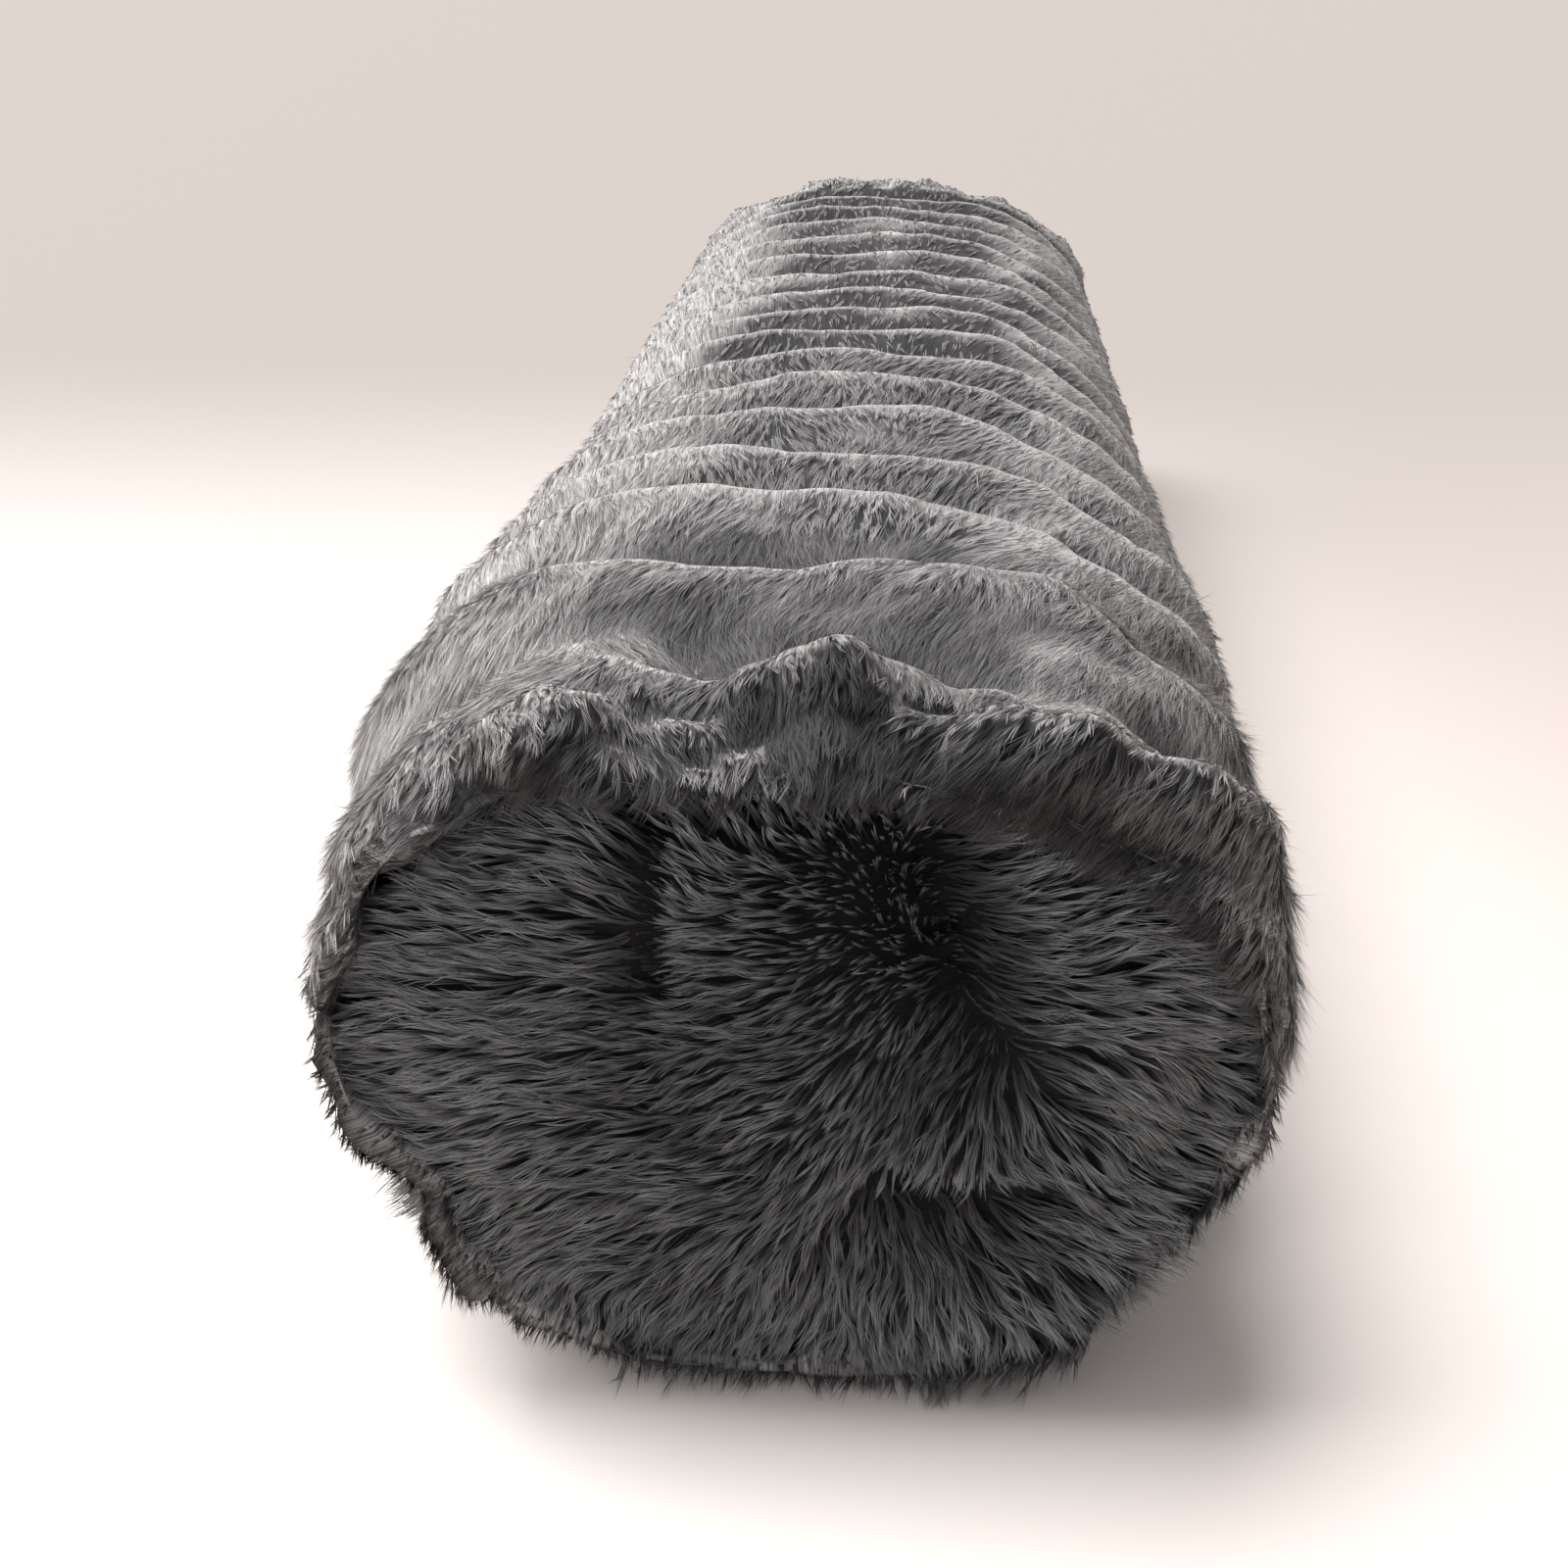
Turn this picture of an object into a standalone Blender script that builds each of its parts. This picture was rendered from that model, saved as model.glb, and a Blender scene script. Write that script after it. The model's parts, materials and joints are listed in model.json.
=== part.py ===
"""Body pillow: a long filled tube of ruched long-pile cloth, with a crowned panel sewn into each end.

Metres, +Z up. The pillow lies along Y on its flattened underside, and the origin is the middle of
its footprint. The solids reach as far as the tips of the pile.
"""

import math
from collections import namedtuple

import bpy
from mathutils import Vector, noise

# Driving sizes of the filled pillow, in metres
LENGTH = 1.37
WIDTH = 0.378
HEIGHT = 0.268
SINK = 0.010
SQUARENESS = 2.45

# Mesh steps
AROUND = 60
FINE_STEPS = 720

# A wave round the tube: its turns in one round, how fast it shifts along the tube, its share
Wave = namedtuple("Wave", "turns shift share")

# Ruching: how far the rolls stand above the gathers between them, how much of that the underside
# keeps, how uneven it is, and how the gathers stray from straight rounds
ROLL_HEIGHT = 0.016
FLANK_SHARE = 0.45
ROLL_UNEVENNESS = 0.45
ROLL_PATCH = 0.07
GATHER_SWAY = 0.007
SWAY_WAVES = (Wave(turns=2, shift=9.0, share=1.0), Wave(turns=5, shift=-23.0, share=0.6))
RIGHT_DRIFT = 0.030
RIGHT_DRIFT_ANGLE = math.radians(48)
RIGHT_DRIFT_SPREAD = math.radians(20)
STEADY_END = 0.085
DRIFT_FADE = 0.15

# Gathered rim and the seat of the end panel, which the lip over it squashes a little
PLEATS = 15
PLEAT_HEIGHT = 0.0036
PLEAT_REACH = 0.075
PLEAT_WAVES = (Wave(turns=3, shift=1.0, share=0.9), Wave(turns=7, shift=-1.0, share=0.55))
NEAR_PHASE = 0.4
FAR_PHASE = 2.1
TUFT_HEIGHT = 0.0018
SEAT_DEPTH = 0.034
SEAT_GAP = 0.0003
SEAT_SQUASH = 0.035

# The near end narrows towards its foot: share of the width lost on either side, the height where
# that begins, the height over which it grows, and how far along the tube it reaches
FOOT_LOSS_LEFT = 0.11
FOOT_LOSS_RIGHT = 0.06
FOOT_TOP = 0.14
FOOT_GROWTH = 0.09
FOOT_REACH = 0.10

# Soft unevenness of the filling
FILL_WAVE = 0.0035
FILL_WAVE_SIZE = 0.16

# Distance of each gather, the low line between two rolls, from the near end
GATHERS = (
    0.098, 0.214, 0.312, 0.390, 0.482, 0.560, 0.630, 0.698,
    0.764, 0.840, 0.919, 0.996, 1.076, 1.150, 1.216, 1.276,
)

# Rows between two gathers: share of the way across, share of the roll's height
RollRow = namedtuple("RollRow", "across height")
ROLL_ROWS = (
    RollRow(0.00, 0.00),
    RollRow(0.22, 0.42),
    RollRow(0.50, 0.80),
    RollRow(0.76, 1.00),
    RollRow(0.91, 0.72),
)

# The cover's rim, from the tube into the panel's seat: distance from the end, share of the
# outline, how far the row follows the folds, and how far it takes the seat's squash
RimRow = namedtuple("RimRow", "inset share follow squash")
RIM_ROWS = (
    RimRow(0.074, 1.000, 1.0, 0.0),
    RimRow(0.050, 1.004, 1.0, 0.0),
    RimRow(0.026, 0.994, 1.0, 0.1),
    RimRow(0.009, 0.968, 0.9, 0.4),
    RimRow(0.000, 0.932, 0.5, 0.8),
    RimRow(0.004, 0.898, 0.1, 1.0),
    RimRow(0.018, 0.878, 0.0, 1.0),
    RimRow(SEAT_DEPTH, 0.870, 0.0, 1.0),
)

# The end panel, from its seat over its edge to its crown
PanelRow = namedtuple("PanelRow", "inset share")
PANEL_ROWS = (
    PanelRow(SEAT_DEPTH - SEAT_GAP, 0.858),
    PanelRow(0.0200, 0.862),
    PanelRow(0.0080, 0.848),
    PanelRow(-0.0010, 0.805),
    PanelRow(-0.0070, 0.730),
    PanelRow(-0.0120, 0.630),
    PanelRow(-0.0160, 0.500),
    PanelRow(-0.0190, 0.350),
    PanelRow(-0.0210, 0.190),
)
CROWN = -0.0220
TUFTED_ROW = 2

# Folds of the near end of the tube: place by angle round it and distance from the near end
Lump = namedtuple("Lump", "angle inset spread length height")
NEAR_LUMPS = (
    Lump(angle=128, inset=0.030, spread=17, length=0.034, height=0.010),
    Lump(angle=120, inset=0.098, spread=20, length=0.022, height=0.013),
    Lump(angle=118, inset=0.055, spread=14, length=0.028, height=-0.005),
    Lump(angle=86, inset=0.054, spread=11, length=0.020, height=0.014),
    Lump(angle=101, inset=0.026, spread=8, length=0.024, height=-0.009),
    Lump(angle=61, inset=0.020, spread=13, length=0.028, height=0.010),
    Lump(angle=73, inset=0.014, spread=6, length=0.022, height=-0.008),
    Lump(angle=38, inset=0.030, spread=12, length=0.034, height=0.006),
    Lump(angle=186, inset=0.000, spread=32, length=0.075, height=-0.023),
    Lump(angle=215, inset=0.000, spread=16, length=0.050, height=-0.006),
    Lump(angle=258, inset=0.000, spread=30, length=0.040, height=-0.010),
    Lump(angle=352, inset=0.000, spread=30, length=0.055, height=-0.013),
    Lump(angle=312, inset=0.012, spread=9, length=0.030, height=0.005),
    Lump(angle=160, inset=0.260, spread=44, length=0.230, height=0.011),
)
FAR_LUMPS = (
    Lump(angle=80, inset=0.030, spread=12, length=0.030, height=0.008),
    Lump(angle=108, inset=0.030, spread=13, length=0.032, height=0.009),
    Lump(angle=94, inset=0.026, spread=7, length=0.030, height=-0.005),
    Lump(angle=150, inset=0.034, spread=16, length=0.036, height=0.006),
    Lump(angle=24, inset=0.030, spread=15, length=0.034, height=0.006),
    Lump(angle=208, inset=0.000, spread=28, length=0.055, height=-0.016),
    Lump(angle=332, inset=0.000, spread=28, length=0.055, height=-0.016),
    Lump(angle=270, inset=0.000, spread=26, length=0.034, height=-0.010),
)

# Soft lines along the tube where its rolls flatten: angle round the tube, share lost, spread,
# and how they stray from straight
SLACK_STRAY = 0.12
SLACK_SHIFT = 11.0
Slack = namedtuple("Slack", "angle loss spread")
SLACKS = (
    Slack(angle=49, loss=0.55, spread=7),
    Slack(angle=84, loss=0.40, spread=6),
    Slack(angle=127, loss=0.35, spread=7),
)

# Partings and puckers pressed into an end panel, from (x0, z0) to (x1, z1), and its fuller places
Crease = namedtuple("Crease", "x0 z0 x1 z1 depth spread")
NEAR_CREASES = (
    Crease(x0=-0.046, z0=0.178, x1=-0.048, z1=0.112, depth=0.008, spread=0.013),
    Crease(x0=0.050, z0=0.222, x1=0.074, z1=0.140, depth=0.013, spread=0.014),
    Crease(x0=0.040, z0=0.088, x1=0.074, z1=0.082, depth=0.012, spread=0.014),
    Crease(x0=0.010, z0=0.216, x1=0.034, z1=0.198, depth=0.006, spread=0.024),
    Crease(x0=-0.090, z0=0.120, x1=-0.100, z1=0.140, depth=-0.006, spread=0.034),
    Crease(x0=0.080, z0=0.048, x1=0.110, z1=0.060, depth=-0.009, spread=0.034),
    Crease(x0=0.100, z0=0.150, x1=0.104, z1=0.178, depth=-0.005, spread=0.030),
)
FAR_CREASES = (
    Crease(x0=-0.030, z0=0.190, x1=-0.044, z1=0.120, depth=0.008, spread=0.015),
    Crease(x0=0.040, z0=0.100, x1=0.066, z1=0.092, depth=0.008, spread=0.015),
)

# Pile colours as linear red, green and blue, and its roughness
COVER_COLOUR = (0.118, 0.112, 0.109)
PANEL_COLOUR = (0.098, 0.093, 0.090)
PILE_ROUGHNESS = 0.62


def clear_scene():
    """Empties the file that the script runs in."""
    for item in list(bpy.data.objects):
        bpy.data.objects.remove(item)


def bell(distance, spread):
    """1 at no distance, falling smoothly to nothing a few spreads away."""
    return math.exp(-((distance / spread) ** 2))


def smooth_step(value):
    """0 below 0, 1 above 1, with a smooth rise between."""
    held = max(0.0, min(1.0, value))
    return held * held * (3 - 2 * held)


def angle_between(a, b):
    """The smaller angle between two directions, in radians."""
    turn = (a - b) % (2 * math.pi)
    return min(turn, 2 * math.pi - turn)


def outline_at(turn):
    """The pillow's cross-section at a parameter: x, and z above the middle of its height."""
    half_width = WIDTH / 2
    half_height = (HEIGHT + SINK) / 2
    c, s = math.cos(turn), math.sin(turn)
    x = half_width * math.copysign(abs(c) ** (2 / SQUARENESS), c)
    z = half_height * math.copysign(abs(s) ** (2 / SQUARENESS), s)
    return x, z


def even_outline():
    """AROUND points evenly spaced along the cross-section, each with its outward direction."""
    fine = [outline_at(2 * math.pi * k / FINE_STEPS) for k in range(FINE_STEPS + 1)]
    run = [0.0]
    for a, b in zip(fine, fine[1:]):
        run.append(run[-1] + math.dist(a, b))
    spots = []
    k = 0
    for i in range(AROUND):
        wanted = run[-1] * i / AROUND
        while run[k + 1] < wanted:
            k += 1
        part = (wanted - run[k]) / (run[k + 1] - run[k])
        x = fine[k][0] + part * (fine[k + 1][0] - fine[k][0])
        z = fine[k][1] + part * (fine[k + 1][1] - fine[k][1])
        spots.append((x, z))
    outline = []
    for i, (x, z) in enumerate(spots):
        before, after = spots[i - 1], spots[(i + 1) % AROUND]
        along = Vector((after[0] - before[0], after[1] - before[1])).normalized()
        outline.append((x, z, along.y, -along.x))
    return outline


def wave_sum(waves, angle, place):
    """Sum of the waves at an angle, each shifted by its own share of a place."""
    return sum(wave.share * math.sin(wave.turns * angle + wave.shift * place) for wave in waves)


def drift(angle, distance):
    """How far a gather strays along the tube at an angle round it, fading out at both ends."""
    from_end = min(distance, LENGTH - distance)
    fade = smooth_step((from_end - STEADY_END) / DRIFT_FADE)
    sway = wave_sum(SWAY_WAVES, angle, distance)
    lead = smooth_step((RIGHT_DRIFT_ANGLE - angle) / RIGHT_DRIFT_SPREAD + 0.5)
    if angle > math.pi:
        lead = smooth_step((angle - 1.5 * math.pi) / (0.5 * math.pi))
    return fade * (GATHER_SWAY * sway - RIGHT_DRIFT * lead)


def roll_gain(angle, distance):
    """Share of a roll's full height at an angle: full on top, less on the flanks and slack lines."""
    up = 0.5 + 0.5 * math.sin(angle)
    gain = FLANK_SHARE + (1 - FLANK_SHARE) * up
    for row in SLACKS:
        stray = SLACK_STRAY * math.sin(SLACK_SHIFT * distance + row.angle)
        gain *= 1 - row.loss * bell(
            angle_between(angle, math.radians(row.angle) + stray), math.radians(row.spread)
        )
    spot = Vector((3 * math.cos(angle), 3 * math.sin(angle), distance / ROLL_PATCH))
    return gain * (1 + ROLL_UNEVENNESS * noise.noise(spot))


def lump_height(lumps, angle, inset):
    """Summed height of the folds that reach this place at one end of the tube."""
    total = 0.0
    for lump in lumps:
        round_it = angle_between(angle, math.radians(lump.angle)) / math.radians(lump.spread)
        along_it = (inset - lump.inset) / lump.length
        total += lump.height * math.exp(-(round_it**2) - along_it**2)
    return total


def pleat_height(angle, inset, phase):
    """Height of the gathered cloth's pleats, which die away from the rim."""
    fade = 1 - smooth_step(inset / PLEAT_REACH)
    uneven = wave_sum(PLEAT_WAVES, angle, phase)
    return fade * PLEAT_HEIGHT * math.sin(PLEATS * angle + uneven + phase)


def fill_wave(angle, distance):
    """Slow unevenness of the filling under the cloth."""
    spot = Vector((2 * math.cos(angle), 2 * math.sin(angle), distance / FILL_WAVE_SIZE))
    return FILL_WAVE * noise.noise(spot)


def tuft(index, row):
    """Ragged lock tips: every other point stands out, by an uneven amount."""
    tip = 1.0 if (index + row) % 2 else -1.0
    uneven = 0.8 + 0.5 * noise.noise(Vector((0.7 * index, 1.9 * row, 0.4)))
    return TUFT_HEIGHT * tip * uneven


def on_ground(z):
    """Nothing reaches below the surface that the pillow lies on."""
    return max(0.0, z)


def foot_width(x, z, distance):
    """Share of the width that is left at a place near the near end's foot."""
    low = smooth_step((FOOT_TOP - z) / FOOT_GROWTH)
    near = 1 - smooth_step(distance / FOOT_REACH)
    loss = FOOT_LOSS_LEFT if x < 0 else FOOT_LOSS_RIGHT
    return 1 - loss * low * near


def ring(outline, distance, share, rise, sway=0.0, squash=0.0):
    """One ring of the cover or a panel.

    distance is from the near end, share scales the outline about its middle, rise(i, angle) is
    added outwards, sway is how much of drift() the ring follows, and squash is how much of the
    seat's squash lowers its top while its bottom stays.
    """
    middle = (HEIGHT - SINK) / 2
    half_height = (HEIGHT + SINK) / 2
    lost = SEAT_SQUASH * squash
    points = []
    for i, (x, z, out_x, out_z) in enumerate(outline):
        angle = math.atan2(z, x) % (2 * math.pi)
        height = rise(i, angle)
        y = distance + sway * drift(angle, distance) - LENGTH / 2
        level = share * (z * (1 - lost) - half_height * lost)
        top = on_ground(middle + level + height * out_z)
        side = share * x + height * out_x
        points.append((side * foot_width(side, top, distance), y, top))
    return points


def tube_ring(outline, distance, roll_share):
    """One ring of the ruched tube, at a share of its roll's height."""

    def rise(_index, angle):
        lumps = lump_height(NEAR_LUMPS, angle, distance)
        lumps += lump_height(FAR_LUMPS, angle, LENGTH - distance)
        roll = ROLL_HEIGHT * (roll_share - 1) * roll_gain(angle, distance)
        pleat = pleat_height(angle, distance, NEAR_PHASE)
        return roll + lumps + pleat + fill_wave(angle, distance)

    return ring(outline, distance, 1.0, rise, sway=1.0)


def tube_rings(outline):
    """Rings of the ruched tube between the two rims, from the near end to the far end."""
    rings = []
    for first, second in zip(GATHERS, GATHERS[1:]):
        for row in ROLL_ROWS:
            distance = first + row.across * (second - first)
            rings.append(tube_ring(outline, distance, row.height))
    rings.append(tube_ring(outline, GATHERS[-1], 0.0))
    return rings


def rim_rings(outline, lumps, phase, far):
    """Rings of one gathered rim, from the tube round into the panel's seat."""
    rings = []
    for number, row in enumerate(RIM_ROWS):
        distance = LENGTH - row.inset if far else row.inset

        def rise(index, angle, row=row, number=number, distance=distance):
            height = lump_height(lumps, angle, row.inset) + pleat_height(angle, row.inset, phase)
            return row.follow * (height + tuft(index, number) + fill_wave(angle, distance))

        rings.append(ring(outline, distance, row.share, rise, squash=row.squash))
    return rings


def crease_depth(creases, x, z):
    """How deep the creases press an end panel in at a place on it."""
    total = 0.0
    for crease in creases:
        start = Vector((crease.x0, crease.z0))
        line = Vector((crease.x1, crease.z1)) - start
        place = Vector((x, z)) - start
        share = max(0.0, min(1.0, place.dot(line) / line.length_squared))
        total += crease.depth * bell((place - share * line).length, crease.spread)
    return total


def panel_rings(outline, creases, far):
    """Rings of one end panel and the point of its crown, from its seat outwards."""
    rings = []
    side = -1.0 if far else 1.0
    for number, row in enumerate(PANEL_ROWS):

        def rise(index, _angle, number=number):
            return tuft(index, 0) if number == TUFTED_ROW else 0.0

        distance = LENGTH - row.inset if far else row.inset
        points = ring(outline, distance, row.share, rise, squash=1.0)
        if number > TUFTED_ROW:
            points = [(x, y + side * crease_depth(creases, x, z), z) for x, y, z in points]
        rings.append(points)
    middle = (HEIGHT - SINK) / 2
    crown = LENGTH - CROWN if far else CROWN
    tip = (0.0, crown - LENGTH / 2 + side * crease_depth(creases, 0.0, middle), middle)
    return rings, tip


def skin(rings):
    """Faces that join each ring to the next, as quads, with all rings wound the same way."""
    faces = []
    for j in range(len(rings) - 1):
        for i in range(AROUND):
            k = (i + 1) % AROUND
            faces.append((j * AROUND + i, j * AROUND + k, (j + 1) * AROUND + k, (j + 1) * AROUND + i))
    return faces


def make_node(name, points, faces, material):
    """A named object from points and faces, all turned to face outwards and shaded smooth."""
    mesh = bpy.data.meshes.new(name)
    mesh.from_pydata(points, [], faces)
    mesh.update()
    mesh.shade_smooth()
    mesh.materials.append(material)
    node = bpy.data.objects.new(name, mesh)
    bpy.context.scene.collection.objects.link(node)
    return node


def pile_material(name, colour):
    """Matt long-pile cloth in one colour."""
    material = bpy.data.materials.new(name)
    material.use_nodes = True
    shader = material.node_tree.nodes["Principled BSDF"]
    shader.inputs["Base Color"].default_value = (*colour, 1.0)
    shader.inputs["Roughness"].default_value = PILE_ROUGHNESS
    shader.inputs["Metallic"].default_value = 0.0
    return material


def make_cover(outline, material):
    """The filled tube: both rims, the ruched rolls between them, and a flat seat at each end."""
    near = rim_rings(outline, NEAR_LUMPS, NEAR_PHASE, far=False)
    far = rim_rings(outline, FAR_LUMPS, FAR_PHASE, far=True)
    rings = near[::-1] + tube_rings(outline) + far
    last = (len(rings) - 1) * AROUND
    faces = [tuple(reversed(face)) for face in skin(rings)]
    faces.append(tuple(range(AROUND)))
    faces.append(tuple(last + i for i in reversed(range(AROUND))))
    return make_node("cover", [point for one in rings for point in one], faces, material)


def make_panel(name, outline, creases, far, material):
    """One crowned end panel with a flat back."""
    rings, tip = panel_rings(outline, creases, far)
    points = [point for one in rings for point in one] + [tip]
    last = (len(rings) - 1) * AROUND
    faces = skin(rings)
    faces.append(tuple(reversed(range(AROUND))))
    faces += [(last + i, last + (i + 1) % AROUND, len(points) - 1) for i in range(AROUND)]
    if far:
        faces = [tuple(reversed(face)) for face in faces]
    return make_node(name, points, faces, material)


def centre_on_origin(nodes):
    """Moves the points so that the middle of the whole pillow's box is over the origin."""
    corners = [point.co for node in nodes for point in node.data.vertices]
    for axis in (0, 1):
        middle = (min(c[axis] for c in corners) + max(c[axis] for c in corners)) / 2
        for corner in corners:
            corner[axis] -= middle


def main():
    """Builds the three nodes of the pillow."""
    clear_scene()
    outline = even_outline()
    cover_pile = pile_material("cover_pile", COVER_COLOUR)
    panel_pile = pile_material("panel_pile", PANEL_COLOUR)
    nodes = [
        make_cover(outline, cover_pile),
        make_panel("near_end_panel", outline, NEAR_CREASES, False, panel_pile),
        make_panel("far_end_panel", outline, FAR_CREASES, True, panel_pile),
    ]
    centre_on_origin(nodes)


main()
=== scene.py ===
"""Looks of a body pillow: a ruched tube of long-pile cloth with a combed plush panel in each end.

Metres, +Z up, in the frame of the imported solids. The near end lies towards -Y. Each soft solid is
replaced by a skin, the backing cloth over its filling, and by locks of pile that grow from it.
"""

import json
import logging
import math
from dataclasses import dataclass
from enum import Enum, IntEnum
from typing import Any, Callable, Iterable, Optional, Sequence, Union

import bmesh
import bpy
import numpy as np
from mathutils.kdtree import KDTree
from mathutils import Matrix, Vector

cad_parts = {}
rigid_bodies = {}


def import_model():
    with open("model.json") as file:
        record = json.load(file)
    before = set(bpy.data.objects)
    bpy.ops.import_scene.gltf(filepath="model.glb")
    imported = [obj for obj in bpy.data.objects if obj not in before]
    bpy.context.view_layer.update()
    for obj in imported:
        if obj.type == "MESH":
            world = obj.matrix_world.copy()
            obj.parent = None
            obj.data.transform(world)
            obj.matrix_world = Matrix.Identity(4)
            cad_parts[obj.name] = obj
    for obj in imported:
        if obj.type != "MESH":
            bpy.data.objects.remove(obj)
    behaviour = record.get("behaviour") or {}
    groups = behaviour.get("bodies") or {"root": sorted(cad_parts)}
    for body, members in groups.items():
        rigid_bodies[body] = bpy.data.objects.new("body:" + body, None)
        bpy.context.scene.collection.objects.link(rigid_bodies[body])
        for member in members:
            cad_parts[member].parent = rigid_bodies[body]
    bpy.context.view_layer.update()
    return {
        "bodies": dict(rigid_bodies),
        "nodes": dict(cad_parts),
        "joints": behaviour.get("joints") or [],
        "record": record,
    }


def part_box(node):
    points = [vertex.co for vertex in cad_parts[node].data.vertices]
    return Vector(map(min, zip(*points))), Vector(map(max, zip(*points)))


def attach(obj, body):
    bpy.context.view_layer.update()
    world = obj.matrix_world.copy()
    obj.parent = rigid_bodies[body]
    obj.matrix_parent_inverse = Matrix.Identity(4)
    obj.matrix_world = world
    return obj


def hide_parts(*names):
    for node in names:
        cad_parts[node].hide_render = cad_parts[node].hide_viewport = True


log = logging.getLogger("body_pillow")

MM = 0.001
BODY = "root"
ABOVE_FLOOR = 0.6 * MM
NOISE_RANGE = (0.3, 0.7)
DRY_FIBRE_SHEEN = "#E8E2DE"

Tree = bpy.types.NodeTree
Socket = bpy.types.NodeSocket
Material = bpy.types.Material
Thickness = Callable[[np.ndarray, np.ndarray], np.ndarray]


class End(Enum):
    """The two ends of the pillow, by the way that each one faces along Y."""

    NEAR = -1.0
    FAR = 1.0


class Cut(Enum):
    """How finely a strand is bent: the shares of its length at which it has points."""

    FINE = (0.0, 0.34, 0.70, 1.0)
    PLAIN = (0.0, 0.52, 1.0)
    NEEDLE = (0.0, 1.0)


class Pattern(IntEnum):
    """The seeds of the uneven patterns, by what each one makes uneven."""

    PANEL_BEND = 11
    PANEL_FINE_BEND = 12
    PANEL_LENGTH = 13
    GATHERS = 21
    LUMPS = 22
    LEAN = 23
    FINE_LEAN = 24
    STEEPNESS = 25
    LENGTH = 26
    CRUMPLES = 27
    CRESTS = 41


def linear(hex_colour: str) -> tuple[float, float, float, float]:
    """Turns an sRGB hex colour into linear light.

    Args:
        hex_colour: six hex digits after a hash.

    Returns:
        Linear red, green, blue, and an alpha of 1.
    """
    parts = [int(hex_colour[k : k + 2], 16) / 255 for k in (1, 3, 5)]
    light = [c / 12.92 if c <= 0.04045 else ((c + 0.055) / 1.055) ** 2.4 for c in parts]
    return light[0], light[1], light[2], 1.0


def add_node(
    tree: Tree, kind: str, links: Optional[dict[Any, Any]] = None, **settings: Any
) -> bpy.types.Node:
    """Adds a node with its settings and what feeds it.

    Args:
        tree: the node tree that gets the node.
        kind: Blender's name for the kind of node.
        links: input socket, by name or number, to a value or to the output that feeds it.
        **settings: the node's own properties.

    Returns:
        The new node.
    """
    node = tree.nodes.new(kind)
    for name, value in settings.items():
        setattr(node, name, value)
    for socket, source in (links or {}).items():
        if isinstance(source, Socket):
            tree.links.new(source, node.inputs[socket])
        else:
            node.inputs[socket].default_value = source
    return node


def unit(vectors: np.ndarray) -> np.ndarray:
    """Vectors of the same directions and a length of 1."""
    return vectors / (np.linalg.norm(vectors, axis=-1, keepdims=True) + 1e-12)


def ease(values: np.ndarray) -> np.ndarray:
    """0 below 0, 1 above 1, with a smooth rise between."""
    held = np.clip(values, 0.0, 1.0)
    return held * held * (3 - 2 * held)


def ripple(places: np.ndarray, size: float, seed: int) -> np.ndarray:
    """Smooth unevenness over space, as a sum of slanted waves.

    Args:
        places: points, one in each row.
        size: the typical distance between two high places.
        seed: which of the many such patterns to make, one of Pattern.

    Returns:
        A value for each point, mostly between -1 and 1.
    """
    rng = np.random.default_rng(seed)
    total = np.zeros(len(places))
    waves = 6
    for _ in range(waves):
        slant = unit(rng.normal(size=3))
        turns = 2 * math.pi / (size * rng.uniform(0.7, 1.6))
        total += np.sin(places @ slant * turns + rng.uniform(0, 2 * math.pi))
    return total / math.sqrt(waves)


def off_line(points: np.ndarray, line: Sequence[tuple[float, ...]]) -> np.ndarray:
    """How far each point is from a bent line."""
    nearest = np.full(len(points), np.inf)
    for start, stop in zip(np.array(line), np.array(line[1:])):
        way = stop - start
        share = np.clip((points - start) @ way / (way @ way), 0, 1)
        nearest = np.minimum(nearest, np.linalg.norm(points - start - share[:, None] * way, axis=1))
    return nearest


def add_object(name: str, data: Any) -> bpy.types.Object:
    """Puts a mesh, a light or a camera into the scene."""
    thing = bpy.data.objects.new(name, data)
    bpy.context.scene.collection.objects.link(thing)
    return thing


def new_finish(name: str) -> tuple[Material, Tree, bpy.types.Node]:
    """Makes a material, and gives it with its node tree and its shader."""
    material = bpy.data.materials.new(name)
    material.use_nodes = True
    return material, material.node_tree, material.node_tree.nodes["Principled BSDF"]


def painted_crest_light_and_shade(tree: Tree, contrast: float) -> Socket:
    """Adds painted light and shade: paler on the cloth's crests, where tips stand clear in the light, and
    darker in its hollows, where shade falls.

    Args:
        tree: the node tree that gets the nodes.
        contrast: how far the tone goes up and down.

    Returns:
        The socket that gives the tone, 1 on plain cloth.
    """
    painted_light_and_shade = add_node(tree, "ShaderNodeAttribute", attribute_name="painted_light_and_shade")
    links = {0: painted_light_and_shade.outputs["Fac"], 1: contrast, 2: 1.0}
    return add_node(tree, "ShaderNodeMath", links, operation="MULTIPLY_ADD").outputs[0]


def soft_surface(
    tree: Tree,
    shader: bpy.types.Node,
    colour: Union[Socket, tuple[float, float, float]],
    tone: Socket,
    relief: dict[str, Any],
    surface: dict[str, float],
) -> None:
    """Gives a shader the toned colour, the fine relief and the dry sheen of fibres.

    Args:
        tree: the shader's node tree.
        shader: the shader.
        colour: the colour, or the output that gives it.
        tone: the output that makes the colour paler or darker.
        relief: the values of the bump.
        surface: numbers for the shader's own sockets.
    """
    toned = add_node(tree, "ShaderNodeVectorMath", {0: colour, "Scale": tone}, operation="SCALE")
    tree.links.new(toned.outputs[0], shader.inputs["Base Color"])
    bump = add_node(tree, "ShaderNodeBump", relief)
    tree.links.new(bump.outputs["Normal"], shader.inputs["Normal"])
    for name, value in surface.items():
        shader.inputs[name].default_value = value
    shader.inputs["Sheen Roughness"].default_value = 0.40
    shader.inputs["Sheen Tint"].default_value = linear(DRY_FIBRE_SHEEN)


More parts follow.
